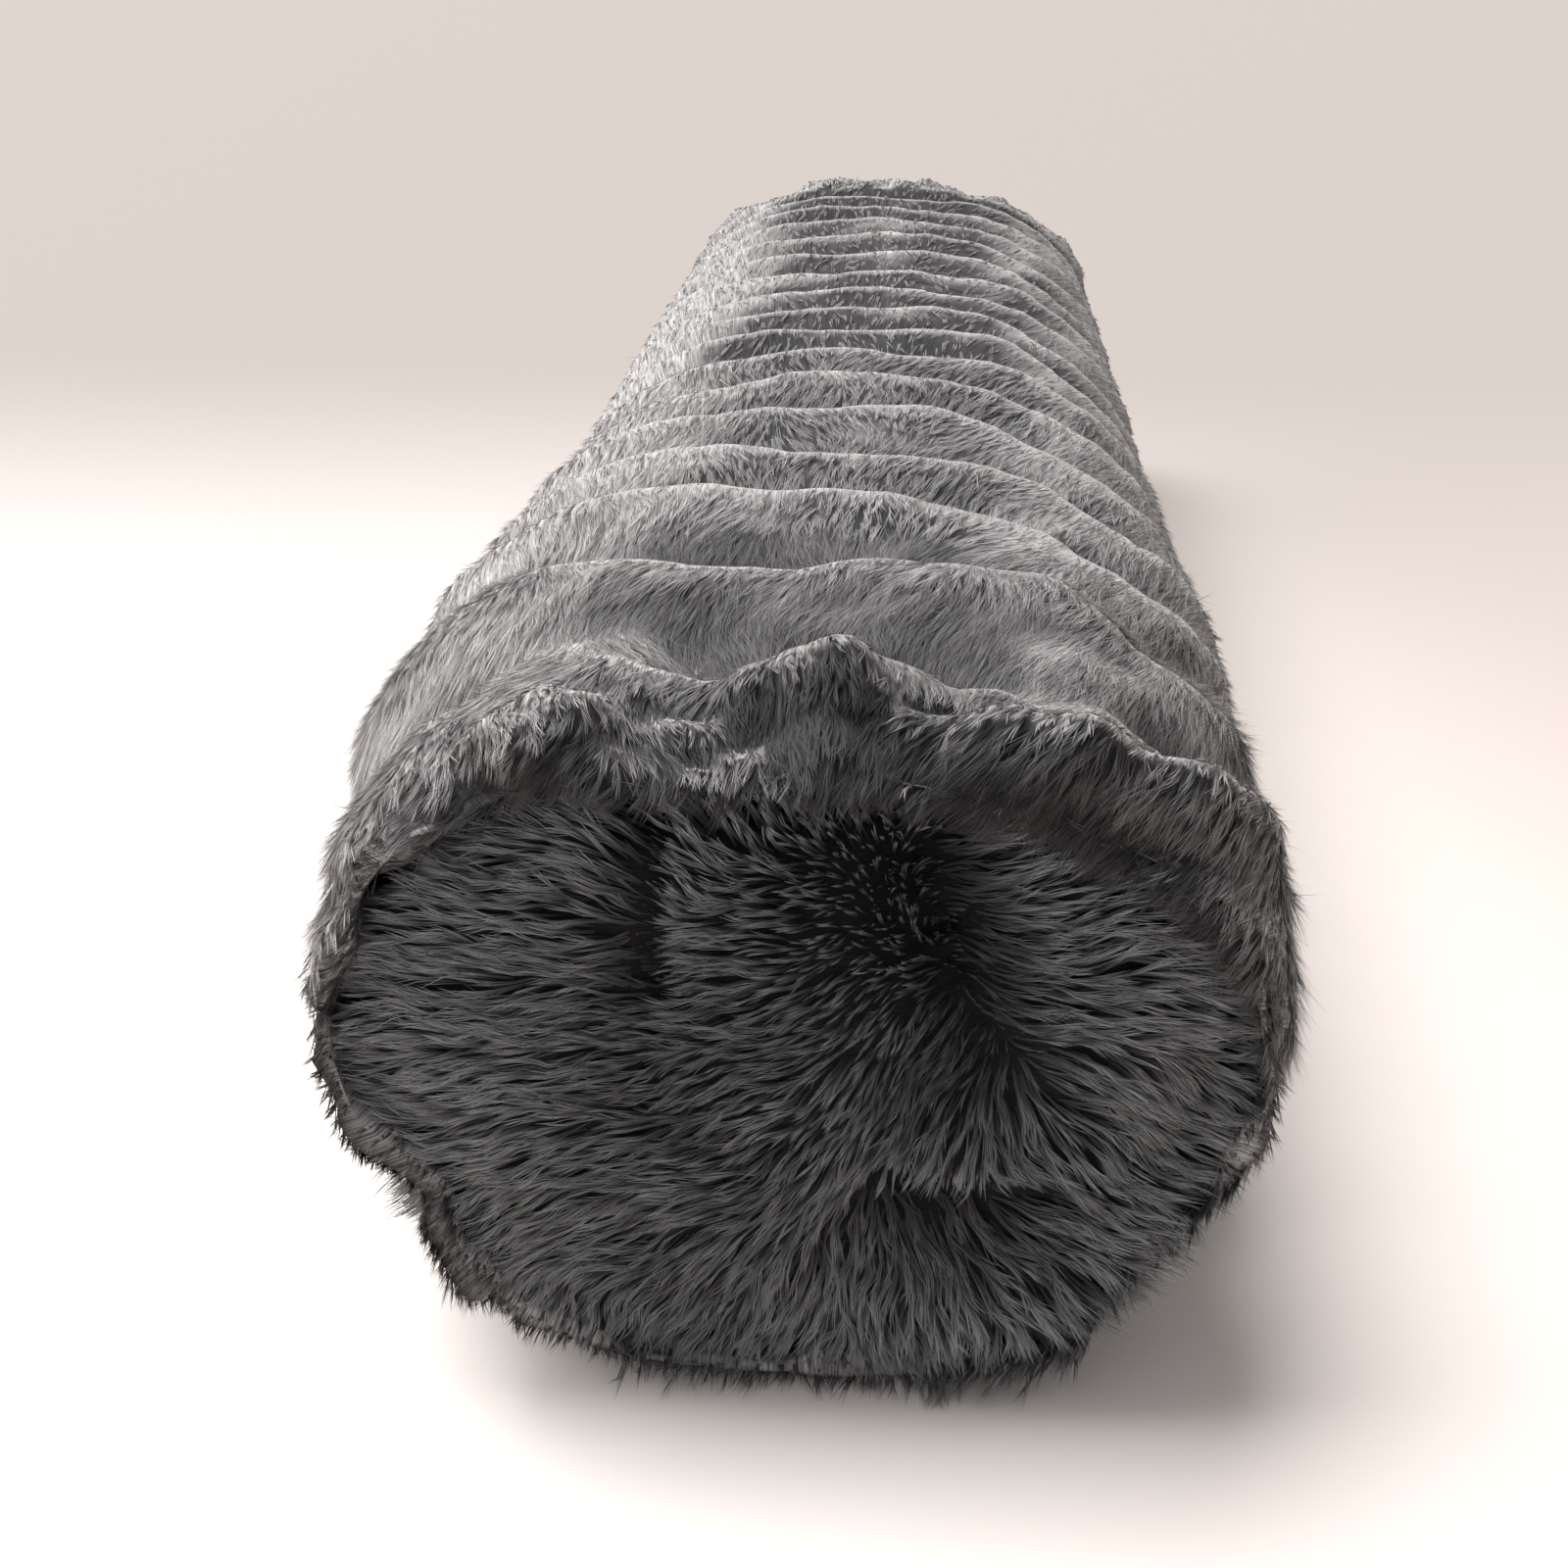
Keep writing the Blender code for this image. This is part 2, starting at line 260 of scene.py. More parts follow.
@dataclass(frozen=True)
class AcrylicPile:
    """Acrylic plush, knitted long and brushed: a matt mass with painted shade on its roots and a painted
    highlight on its tips.
    """

    name: str
    root: str
    middle: str
    tip: str
    lock_contrast: float = 0.25
    fibre_contrast: float = 0.30
    crest_contrast: float = 0.30
    roughness: float = 0.62
    sheen: float = 0.30
    specular: float = 0.35
    middle_at: float = 0.45
    fibres: float = 4.0
    fibre_spread: float = 57.0
    patch_mm: float = 46.0
    patch_contrast: float = 0.14

    def build(self) -> Material:
        """Makes the material.

        Returns:
            A material that reads the strand map: across in x, root to tip in y.
        """
        material, tree, shader = new_finish(self.name)
        strand = add_node(tree, "ShaderNodeUVMap", uv_map="Strand")
        ways = add_node(tree, "ShaderNodeSeparateXYZ", {0: strand.outputs[0]})
        shade = add_node(tree, "ShaderNodeAttribute", attribute_name="shade").outputs["Fac"]

        # Painted shade darkens the roots, where little light reaches them, and a painted highlight makes
        # each tip pale
        ramp = add_node(tree, "ShaderNodeValToRGB", {0: ways.outputs["Y"]})
        stops = ramp.color_ramp.elements
        stops[0].color, stops[0].position = linear(self.root), 0.0
        stops[1].color, stops[1].position = linear(self.tip), 1.0
        stops.new(self.middle_at).color = linear(self.middle)

        # Real fibres of 0.04 mm are too fine to show, so each strand has streaks of 0.1 mm or more
        times = {"operation": "MULTIPLY"}
        across = add_node(tree, "ShaderNodeMath", {0: ways.outputs["X"], 1: self.fibres}, **times)
        offset = add_node(tree, "ShaderNodeMath", {0: shade, 1: self.fibre_spread}, **times)
        links = {0: across.outputs[0], 1: ways.outputs["Y"], 2: offset.outputs[0]}
        spot = add_node(tree, "ShaderNodeCombineXYZ", links)
        links = {"Vector": spot.outputs[0], "Scale": 1.0, "Detail": 2.0, "Roughness": 0.6}
        streaks = add_node(tree, "ShaderNodeTexNoise", links).outputs["Fac"]

        # No two locks take the dye or the light alike, and the cloth varies over a hand's width
        place = add_node(tree, "ShaderNodeTexCoord")
        links = {"Vector": place.outputs["Object"], "Scale": 1000.0 / self.patch_mm, "Detail": 1.0}
        patches = add_node(tree, "ShaderNodeTexNoise", links).outputs["Fac"]
        tones = []
        for source, low, high, contrast in (
            (streaks, *NOISE_RANGE, self.fibre_contrast),
            (shade, 0.0, 1.0, self.lock_contrast),
            (patches, *NOISE_RANGE, self.patch_contrast),
        ):
            links = {0: source, 1: low, 2: high, 3: 1 - contrast, 4: 1 + contrast}
            tones.append(add_node(tree, "ShaderNodeMapRange", links).outputs[0])
        # Painted light and shade from the mesh: paler on crests, darker in hollows, creases and partings
        tones.append(painted_crest_light_and_shade(tree, self.crest_contrast))
        tone = tones[0]
        for other in tones[1:]:
            tone = add_node(tree, "ShaderNodeMath", {0: tone, 1: other}, **times).outputs[0]

        # The fibres stand a third of a millimetre out of the strand
        relief = {"Height": streaks, "Strength": 0.6, "Distance": 0.3 * MM}
        surface = {
            "Roughness": self.roughness,
            "Specular IOR Level": self.specular,
            "Sheen Weight": self.sheen,
        }
        soft_surface(tree, shader, ramp.outputs["Color"], tone, relief, surface)
        return material


@dataclass(frozen=True)
class KnittedBacking:
    """Knitted polyester backing, felted by short fibres: quite matt, with a brushed grain."""

    name: str
    colour: str
    fibre_mm: float = 0.8
    fibre_length_mm: float = 12.0
    contrast: float = 0.45
    crest_contrast: float = 0.30
    roughness: float = 0.9
    specular: float = 0.2
    sheen: float = 0.0

    def build(self) -> Material:
        """Makes the material.

        Returns:
            A material in one colour with a brushed grain, read from the map of the nap.
        """
        material, tree, shader = new_finish(self.name)
        nap = add_node(tree, "ShaderNodeUVMap", uv_map="Nap").outputs[0]

        # Felted fibres are finer than this too, and are drawn wide enough for the grain to show
        grain = (1000.0 / self.fibre_mm, 1000.0 / self.fibre_length_mm, 1.0)
        drawn = add_node(tree, "ShaderNodeVectorMath", {0: nap, 1: grain}, operation="MULTIPLY")
        links = {"Vector": drawn.outputs[0], "Scale": 1.0, "Detail": 3.0, "Distortion": 0.6}
        felt = add_node(tree, "ShaderNodeTexNoise", links).outputs["Fac"]
        low, high = NOISE_RANGE
        links = {0: felt, 1: low, 2: high, 3: 1 - self.contrast, 4: 1 + self.contrast}
        felted = add_node(tree, "ShaderNodeMapRange", links).outputs[0]
        # Painted light and shade from the mesh, as on the pile
        links = {0: felted, 1: painted_crest_light_and_shade(tree, self.crest_contrast)}
        tone = add_node(tree, "ShaderNodeMath", links, operation="MULTIPLY").outputs[0]
        relief = {"Height": felt, "Strength": 0.8, "Distance": 1.0 * MM}
        surface = {
            "Roughness": self.roughness,
            "Specular IOR Level": self.specular,
            "Sheen Weight": self.sheen,
        }
        soft_surface(tree, shader, linear(self.colour)[:3], tone, relief, surface)
        return material


@dataclass
class Turf:
    """Places that pile can grow from: points, outward directions, crests and triangles between them."""

    points: np.ndarray
    outs: np.ndarray
    crests: np.ndarray
    corners: np.ndarray

    @classmethod
    def of(cls, mesh: bpy.types.Mesh) -> "Turf":
        """Reads a mesh.

        Args:
            mesh: the mesh to read.

        Returns:
            Its points, their outward directions, how far each is on a crest, and its triangles.
        """
        count = len(mesh.vertices)
        crests = np.zeros(count, np.float32)
        if "painted_light_and_shade" in mesh.attributes:
            mesh.attributes["painted_light_and_shade"].data.foreach_get("value", crests)
        points, outs = (np.empty(count * 3, np.float32) for _ in range(2))
        mesh.vertices.foreach_get("co", points)
        mesh.vertices.foreach_get("normal", outs)
        mesh.calc_loop_triangles()
        corners = np.empty(len(mesh.loop_triangles) * 3, np.int32)
        mesh.loop_triangles.foreach_get("vertices", corners)
        points, outs = (rows.reshape(-1, 3).astype(float) for rows in (points, outs))
        return cls(points, outs, crests.astype(float), corners.reshape(-1, 3))

    def crests_at(self, places: np.ndarray) -> np.ndarray:
        """The crest at the point of the turf that is nearest to each place."""
        tree = KDTree(len(self.points))
        for k, point in enumerate(self.points):
            tree.insert(point, k)
        tree.balance()
        return self.crests[[tree.find(place)[1] for place in places]]

    def sample(
        self, count: int, share: Thickness, rng: np.random.Generator
    ) -> tuple[np.ndarray, np.ndarray, np.ndarray]:
        """Picks places evenly over the triangles.

        Args:
            count: how many places to pick.
            share: gives how thickly pile stands at a point with an outward direction.
            rng: where the random numbers come from.

        Returns:
            The places, and the outward direction and the crest at each.
        """
        a, b, c = (self.points[self.corners[:, k]] for k in range(3))
        area = np.linalg.norm(np.cross(b - a, c - a), axis=1) / 2
        outs = unit(self.outs[self.corners].mean(axis=1))
        weight = area * share((a + b + c) / 3, outs)
        run = np.cumsum(weight)
        wanted = (np.arange(count) + rng.random(count)) / count * run[-1]
        chosen = np.minimum(np.searchsorted(run, wanted), len(run) - 1)
        u, v = rng.random(count), rng.random(count)
        over = u + v > 1
        u[over], v[over] = 1 - u[over], 1 - v[over]
        parts = np.stack([1 - u - v, u, v], axis=1)[:, :, None]
        places = (self.points[self.corners[chosen]] * parts).sum(axis=1)
        crests = (self.crests[self.corners[chosen]] * parts[:, :, 0]).sum(axis=1)
        return places, unit((self.outs[self.corners[chosen]] * parts).sum(axis=1)), crests


@dataclass
class Combed:
    """How pile lies at some places: along the cloth, how steeply, its share of its length, its tone of
    painted light and shade.
    """

    along: np.ndarray
    lift: np.ndarray
    length: np.ndarray
    tone: np.ndarray


@dataclass
class Pile:
    """One stretch of long pile, cut to a length and gathered into pointed locks."""

    name: str
    locks: int
    strands: int
    length: float
    width: float
    radius: float
    cut: Cut
    seed: int
    closing: float = 0.75
    droop: float = 0.45
    wave: float = 0.10
    stray: float = 0.03
    roll: float = 0.35
    follow: float = 0.5
    highest_rise: float = 1.0
    splay: float = 0.06
    reach_tone: float = 0.75
    tilts: tuple[float, float] = (0.75, 1.25)
    lengths: tuple[float, float] = (0.74, 1.14)
    strand_lengths: tuple[float, float] = (0.80, 1.08)
    stray_reach: float = 3.5
    depth_of_lock: float = 2.2
    darkest: float = -1.7
    palest: float = 1.8

    def grow(
        self,
        turf: Turf,
        share: Thickness,
        comb: Callable[[np.ndarray, np.ndarray], Combed],
        material: Material,
    ) -> bpy.types.Object:
        """Grows the pile as one mesh of thin tapered ribbons.

        Args:
            turf: what the pile grows from.
            share: how thickly pile stands at a place.
            comb: how pile lies at a place.
            material: the pile's finish.

        Returns:
            The new piece.
        """
        rng = np.random.default_rng(self.seed)
        roots, outs, crests = turf.sample(self.locks, share, rng)
        combed = comb(roots, outs)
        lock = np.repeat(np.arange(self.locks), self.strands)
        total = len(lock)
        shares = self.cut.value
        bends = len(shares) - 1
        turn = rng.normal(0, 0.08, (self.locks, 1)) + np.cumsum(
            rng.normal(0, self.wave, (self.locks, bends)), axis=1
        )
        lift = combed.lift * rng.uniform(*self.tilts, self.locks)
        length = self.length * combed.length * rng.uniform(*self.lengths, self.locks)
        lock_shade = rng.random(self.locks)

        # Each lock is drawn as one line that keeps to the flow of the pile on its way
        line = np.empty((self.locks, len(shares), 3))
        line[:, 0] = roots
        lying = combed
        for k in range(1, len(shares)):
            if k > 1:
                lying = comb(line[:, k - 1], outs)
            along = unit(lying.along - outs * (lying.along * outs).sum(axis=1, keepdims=True))
            aside = np.cross(outs, along)
            rise = lift - self.droop * ((shares[k - 1] + shares[k]) / 2) ** 1.3
            heading = (
                along * (np.cos(rise) * np.cos(turn[:, k - 1]))[:, None]
                + aside * (np.cos(rise) * np.sin(turn[:, k - 1]))[:, None]
                + outs * np.sin(rise)[:, None]
            )
            heading[:, 2] = np.minimum(heading[:, 2], self.highest_rise)
            line[:, k] = line[:, k - 1] + unit(heading) * (length * (shares[k] - shares[k - 1]))[:, None]

        # Its strands stand round that line, close in on it towards their tips, and some stray
        start = unit(line[:, 1] - line[:, 0])[lock]
        beside = unit(np.cross(outs[lock], start))
        angle = rng.uniform(0, 2 * math.pi, total)
        reach = self.radius * np.sqrt(rng.random(total))
        offset = beside * (np.cos(angle) * reach)[:, None]
        offset += start * (np.sin(angle) * reach * self.depth_of_lock)[:, None]
        strays = np.where(rng.random(total) < self.stray, self.stray_reach, 1.0)
        apart = beside * rng.normal(0, self.splay, total)[:, None]
        apart += outs[lock] * np.abs(rng.normal(0, self.splay, total))[:, None]
        apart *= (strays * length[lock])[:, None]
        grown = rng.uniform(*self.strand_lengths, total)
        points = np.empty((total, len(shares), 3))
        for k, part in enumerate(shares):
            points[:, k] = roots[lock] + (line[lock, k] - roots[lock]) * grown[:, None]
            points[:, k] += offset * (1 - self.closing * part) + apart * part**1.5
        points[:, :, 2] = np.maximum(points[:, :, 2], ABOVE_FLOOR)

        roll = rng.normal(0, self.roll, total)
        tip = unit(points[:, -1] - points[:, 0])
        flat = unit(np.cross(tip, outs[lock]))
        edge = np.cross(tip, flat)
        sides = flat * np.cos(roll)[:, None] + edge * np.sin(roll)[:, None]
        face = np.cross(sides, tip)
        face *= np.sign((face * outs[lock]).sum(axis=1, keepdims=True))
        lit = unit(face * (1 - self.follow) + outs[lock] * self.follow)
        shade = np.clip(lock_shade[lock] * 0.65 + rng.random(total) * 0.35, 0, 1)
        # Each lock blends the painted light and shade of the skin at its root and at its first bend, and
        # adds the comb's painted shade
        settled = crests + self.reach_tone * (turf.crests_at(line[:, 1]) - crests)
        painted_light_and_shade = np.clip(settled + combed.tone, self.darkest, self.palest)[lock]
        return self.weave(points, sides * self.width / 2, lit, {"shade": shade, "painted_light_and_shade": painted_light_and_shade}, material)

    def weave(
        self,
        points: np.ndarray,
        sides: np.ndarray,
        lit: np.ndarray,
        tones: dict[str, np.ndarray],
        material: Material,
    ) -> bpy.types.Object:
        """Makes the mesh of the strands.

        Args:
            points: each strand's points, from root to tip.
            sides: from each strand's middle line to its edge, where it is widest.
            lit: the direction in which each strand takes the light, as part of a soft mass.
            tones: values of each strand, by the name of the attribute that the finish reads.
            material: the pile's finish.

        Returns:
            The new piece.
        """
        shares = self.cut.value
        total, stations = points.shape[:2]
        pairs = stations - 1
        per_strand = 2 * pairs + 1
        co = np.empty((total, per_strand, 3), np.float32)
        strand_map = np.empty((per_strand, 2), np.float32)
        for k in range(pairs):
            taper = 0.62 + 0.38 * math.sin(math.pi * min(1.0, 0.25 + shares[k]))
            co[:, 2 * k] = points[:, k] - sides * taper
            co[:, 2 * k + 1] = points[:, k] + sides * taper
            strand_map[2 * k] = (0.0, shares[k])
            strand_map[2 * k + 1] = (1.0, shares[k])
        co[:, -1] = points[:, -1]
        strand_map[-1] = (0.5, 1.0)

        corners: list[int] = []
        starts: list[int] = []
        for k in range(pairs - 1):
            starts.append(len(corners))
            corners += [2 * k, 2 * k + 1, 2 * k + 3, 2 * k + 2]
        starts.append(len(corners))
        corners += [2 * pairs - 2, 2 * pairs - 1, 2 * pairs]
        pattern = np.array(corners, np.int32)
        loops = (pattern[None] + per_strand * np.arange(total)[:, None]).ravel()
        loop_starts = (np.array(starts)[None] + len(corners) * np.arange(total)[:, None]).ravel()

        mesh = bpy.data.meshes.new(self.name)
        mesh.vertices.add(total * per_strand)
        mesh.vertices.foreach_set("co", co.ravel())
        mesh.loops.add(len(loops))
        mesh.loops.foreach_set("vertex_index", loops.astype(np.int32))
        mesh.polygons.add(len(loop_starts))
        mesh.polygons.foreach_set("loop_start", loop_starts.astype(np.int32))
        mesh.update(calc_edges=True)
        mesh.shade_smooth()
        mesh.normals_split_custom_set_from_vertices(np.repeat(lit, per_strand, axis=0))

        # Each strand has a cell of its own in the bake's map, and all share one strand map
        wide = math.ceil(math.sqrt(total))
        cell = np.stack([np.arange(total) % wide, np.arange(total) // wide], axis=1)
        own = (cell[:, None] + 0.12 + 0.76 * strand_map[None]) / wide
        bake = mesh.uv_layers.new(name="OFBake")
        bake.uv.foreach_set("vector", own[:, pattern].astype(np.float32).ravel())
        shared = mesh.uv_layers.new(name="Strand")
        shared.uv.foreach_set("vector", np.tile(strand_map[pattern], (total, 1)).ravel())
        for name, values in tones.items():
            attribute = mesh.attributes.new(name, "FLOAT", "POINT")
            attribute.data.foreach_set("value", np.repeat(values, per_strand).astype(np.float32))
        mesh.materials.append(material)
        piece = add_object(self.name, mesh)
        triangles = total * (2 * pairs - 1)
        log.info("%s: %d locks, %d strands, %d triangles", self.name, self.locks, total, triangles)
        return piece


@dataclass
class Skin:
    """The backing cloth over the filling of one soft solid, rounded from the solid's facets."""

    name: str
    node: str
    depth: float
    fullness: float = 0.0
    far_fullness: float = 0.0
    fine_beyond: float = 9.0
    weld: float = 0.02 * MM
    settle: int = 0
    soften: int = 60
    ridge: int = 8
    crest_height: float = 5.0 * MM
    ridge_height: float = 0.9 * MM
    crest_share: float = 0.75
    ridge_share: float = 0.30
    ridge_unevenness: float = 0.35
    full_from: float = -0.15
    full_over: float = 0.30

    def build(
        self,
        frame: dict[str, Any],
        shape: Callable[[np.ndarray, np.ndarray], np.ndarray],
        nap: Callable[[np.ndarray], np.ndarray],
        material: Material,
    ) -> bpy.types.Object:
        """Makes the skin from its solid.

        Args:
            frame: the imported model.
            shape: how folds move points with outward directions.
            nap: the place of each point on the map of the nap, across it and along it.
            material: the skin's finish.

        Returns:
            The new piece.
        """
        facets = bmesh.new()
        facets.from_mesh(frame["nodes"][self.node].data)
        bmesh.ops.remove_doubles(facets, verts=facets.verts, dist=self.weld)
        loose = {"angle_face_threshold": 1.2, "angle_shape_threshold": 1.6}
        bmesh.ops.join_triangles(facets, faces=facets.faces, **loose)
        edges = [e for e in facets.edges if min(abs(v.co.y) for v in e.verts) > self.fine_beyond]
        if edges:
            bmesh.ops.subdivide_edges(facets, edges=edges, cuts=1, use_grid_fill=True)
        mesh = bpy.data.meshes.new(self.name)
        facets.to_mesh(mesh)
        facets.free()
        piece = add_object(self.name, mesh)
        rounded = piece.modifiers.new("rounded", "SUBSURF")
        rounded.levels = 1
        softened = piece.modifiers.new("softened", "SMOOTH")
        softened.factor = 0.5
        softened.iterations = self.settle
        mesh = self.settled(piece)
        crisp = Turf.of(mesh)

        # Rolls that the rounding took down are drawn out again, against a much softened copy
        softened.iterations = self.settle + self.ridge
        soft = Turf.of(self.settled(piece))
        softened.iterations = self.settle + self.soften
        broad = Turf.of(self.settled(piece))
        piece.modifiers.clear()
        piece.data = mesh
        mesh.name = self.name
        mesh.materials.clear()
        mesh.materials.append(material)
        relief = ((crisp.points - broad.points) * crisp.outs).sum(axis=1, keepdims=True)
        ridges = ((crisp.points - soft.points) * crisp.outs).sum(axis=1, keepdims=True)
        folded = shape(crisp.points, crisp.outs)
        raised = (folded * crisp.outs).sum(axis=1, keepdims=True)
        # Painted light and shade from the relief: paler on crests and ridges, broken up along them, and
        # darker in hollows and in the folds' low places
        painted_relief_tone = self.crest_share * np.clip((relief + 0.6 * raised) / self.crest_height, -1, 1)
        broken = self.ridge_unevenness * ripple(crisp.points, 0.055, Pattern.CRESTS)[:, None]
        painted_relief_tone += (self.ridge_share + broken) * np.clip(ridges / self.ridge_height, -1, 1)
        nearness = ease((self.full_from - crisp.points[:, 1:2]) / self.full_over)
        fullness = self.far_fullness + (self.fullness - self.far_fullness) * nearness
        moved = crisp.points + crisp.outs * (relief * fullness - self.depth)
        moved += folded
        moved[:, 2] = np.maximum(moved[:, 2], ABOVE_FLOOR / 2)
        mesh.vertices.foreach_set("co", moved.astype(np.float32).ravel())
        crests = mesh.attributes.new("painted_light_and_shade", "FLOAT", "POINT")
        crests.data.foreach_set("value", painted_relief_tone.astype(np.float32).ravel())
        spots = nap(crisp.points)
        corner = np.empty(len(mesh.loops), np.int32)
        mesh.loops.foreach_get("vertex_index", corner)
        mapped = mesh.uv_layers.new(name="Nap")
        mapped.uv.foreach_set("vector", spots[corner].astype(np.float32).ravel())
        mesh.update()
        mesh.shade_smooth()
        log.info("%s: %d points", self.name, len(mesh.vertices))
        return piece

    def settled(self, piece: bpy.types.Object) -> bpy.types.Mesh:
        """A copy of the piece's mesh with its modifiers applied."""
        graph = bpy.context.evaluated_depsgraph_get()
        return bpy.data.meshes.new_from_object(piece.evaluated_get(graph))


@dataclass(frozen=True)
class Stroke:
    """One stroke of the hand over a panel's pile: where, which way in degrees, how steep."""

    x: float
    z: float
    heading: float
    lift: float


# How the pile of the near panel lies: x, z, heading and lift of each stroke of the hand
NEAR_STROKES = tuple(
    Stroke(*row)
    for row in (
        (-0.049, 0.243, 149, 0.25), (-0.076, 0.228, 165, 0.20), (-0.119, 0.223, 180, 0.15),
        (-0.050, 0.211, 146, 0.20), (-0.091, 0.194, 177, 0.15), (-0.126, 0.178, 182, 0.15),
        (-0.051, 0.181, 180, 0.20), (-0.079, 0.156, 186, 0.15), (-0.126, 0.130, 194, 0.15),
        (-0.149, 0.100, 173, 0.10), (-0.144, 0.080, 215, 0.15), (-0.124, 0.041, 223, 0.15),
        (-0.092, 0.025, 243, 0.15), (-0.063, 0.020, 258, 0.15), (-0.024, 0.182, 184, 0.25),
        (0.003, 0.160, 191, 0.30), (-0.011, 0.127, 210, 0.20), (-0.039, 0.106, 190, 0.20),
        (-0.068, 0.066, 206, 0.15), (-0.033, 0.046, 228, 0.15), (0.003, 0.030, 252, 0.20),
        (0.017, 0.104, 231, 0.25), (0.039, 0.046, 267, 0.20), (0.031, 0.137, 228, 0.45),
        (0.036, 0.234, 90, 1.00), (0.034, 0.214, 95, 1.05), (0.038, 0.196, 110, 1.00),
        (0.020, 0.206, 160, 0.85), (0.018, 0.228, 130, 0.80), (0.046, 0.182, 150, 0.90),
        (0.000, 0.212, 176, 0.45), (0.004, 0.238, 135, 0.45), (0.028, 0.176, 212, 0.60),
        (-0.010, 0.234, 116, 0.35), (-0.029, 0.255, 103, 0.30), (0.022, 0.260, 95, 0.45),
        (0.052, 0.164, 232, 0.75), (0.062, 0.150, 240, 0.55), (0.060, 0.225, 20, 0.35),
        (0.064, 0.200, 12, 0.30), (0.074, 0.180, 8, 0.30), (0.054, 0.257, 64, 0.50),
        (0.078, 0.230, 30, 0.25), (0.103, 0.234, 35, 0.20), (0.102, 0.202, 18, 0.20),
        (0.137, 0.207, 7, 0.15), (0.090, 0.171, 9, 0.25), (0.130, 0.173, 357, 0.15),
        (0.156, 0.166, 342, 0.15), (0.105, 0.141, 331, 0.20), (0.142, 0.134, 327, 0.15),
        (0.080, 0.128, 279, 0.30), (0.058, 0.118, 253, 0.40), (0.096, 0.112, 308, 0.25),
        (0.094, 0.089, 341, 0.20), (0.056, 0.081, 296, 0.25), (0.040, 0.072, 269, 0.20),
        (0.129, 0.085, 346, 0.15), (0.110, 0.049, 317, 0.15), (0.079, 0.030, 292, 0.15),
        (0.054, 0.020, 278, 0.15), (0.147, 0.073, 324, 0.15),
    )
)

# The far panel isn't in the photo: its pile simply falls away from a crown near its top
FAR_STROKES = tuple(
    Stroke(*row)
    for row in (
        (-0.110, 0.180, 172, 0.20), (-0.120, 0.110, 192, 0.15), (-0.100, 0.045, 222, 0.15),
        (-0.040, 0.040, 255, 0.20), (-0.050, 0.130, 200, 0.30), (-0.055, 0.205, 140, 0.30),
        (0.000, 0.160, 262, 0.80), (0.005, 0.225, 92, 0.40), (0.010, 0.090, 266, 0.30),
        (0.055, 0.205, 40, 0.30), (0.060, 0.130, 340, 0.30), (0.045, 0.040, 286, 0.20),
        (0.100, 0.045, 318, 0.15), (0.120, 0.110, 348, 0.15), (0.110, 0.180, 8, 0.20),
    )
)


@dataclass(frozen=True)
class RimStroke:
    """How the pile on the front of the near rim lies at an angle round it, and its painted shade, or
    painted light where below 0.
    """

    angle: float
    x: float
    z: float
    lift: float
    length: float
    shade: float


# From the right flank over the lip to the foot and back: angle, x, z, lift, length, shade (painted shade,
# painted light where below 0)
RIM_STROKES = tuple(
    RimStroke(*row)
    for row in (
        (20, -0.70, -0.60, 0.20, 1.20, 0.6),
        (50, -0.60, -0.80, 0.20, 1.40, 2.3),
        (68, -0.40, -0.90, 0.35, 1.20, 2.4),
        (90, -0.10, -1.00, 0.60, 1.00, 3.6),
        (112, -0.60, -0.80, 0.60, 0.90, 2.5),
        (130, -0.90, -0.50, 0.35, 0.80, 0.9),
        (150, -1.00, -0.10, 0.30, 0.45, -2.0),
        (185, -1.00, -0.20, 0.15, 0.40, -2.0),
        (205, -0.90, -0.50, 0.15, 0.80, 0.0),
        (222, -0.55, -0.90, 0.20, 1.00, 0.2),
        (250, -0.40, -1.00, 0.24, 1.00, 0.4),
        (290, 0.20, -1.00, 0.24, 1.00, 0.4),
        (322, 0.30, -1.00, 0.20, 1.00, 0.2),
        (342, 0.30, -0.90, 0.20, 0.80, 0.3),
    )
)


@dataclass(frozen=True)
class Fold:
    """A soft fold of the cloth at the near end: a ridge along a line, or a hollow where it is low."""

    line: tuple[tuple[float, float, float], ...]
    height: float
    spread: float

    def rise(self, points: np.ndarray) -> np.ndarray:
        """How far the fold lifts each point."""
        return self.height * np.exp(-((off_line(points, self.line) / self.spread) ** 2))


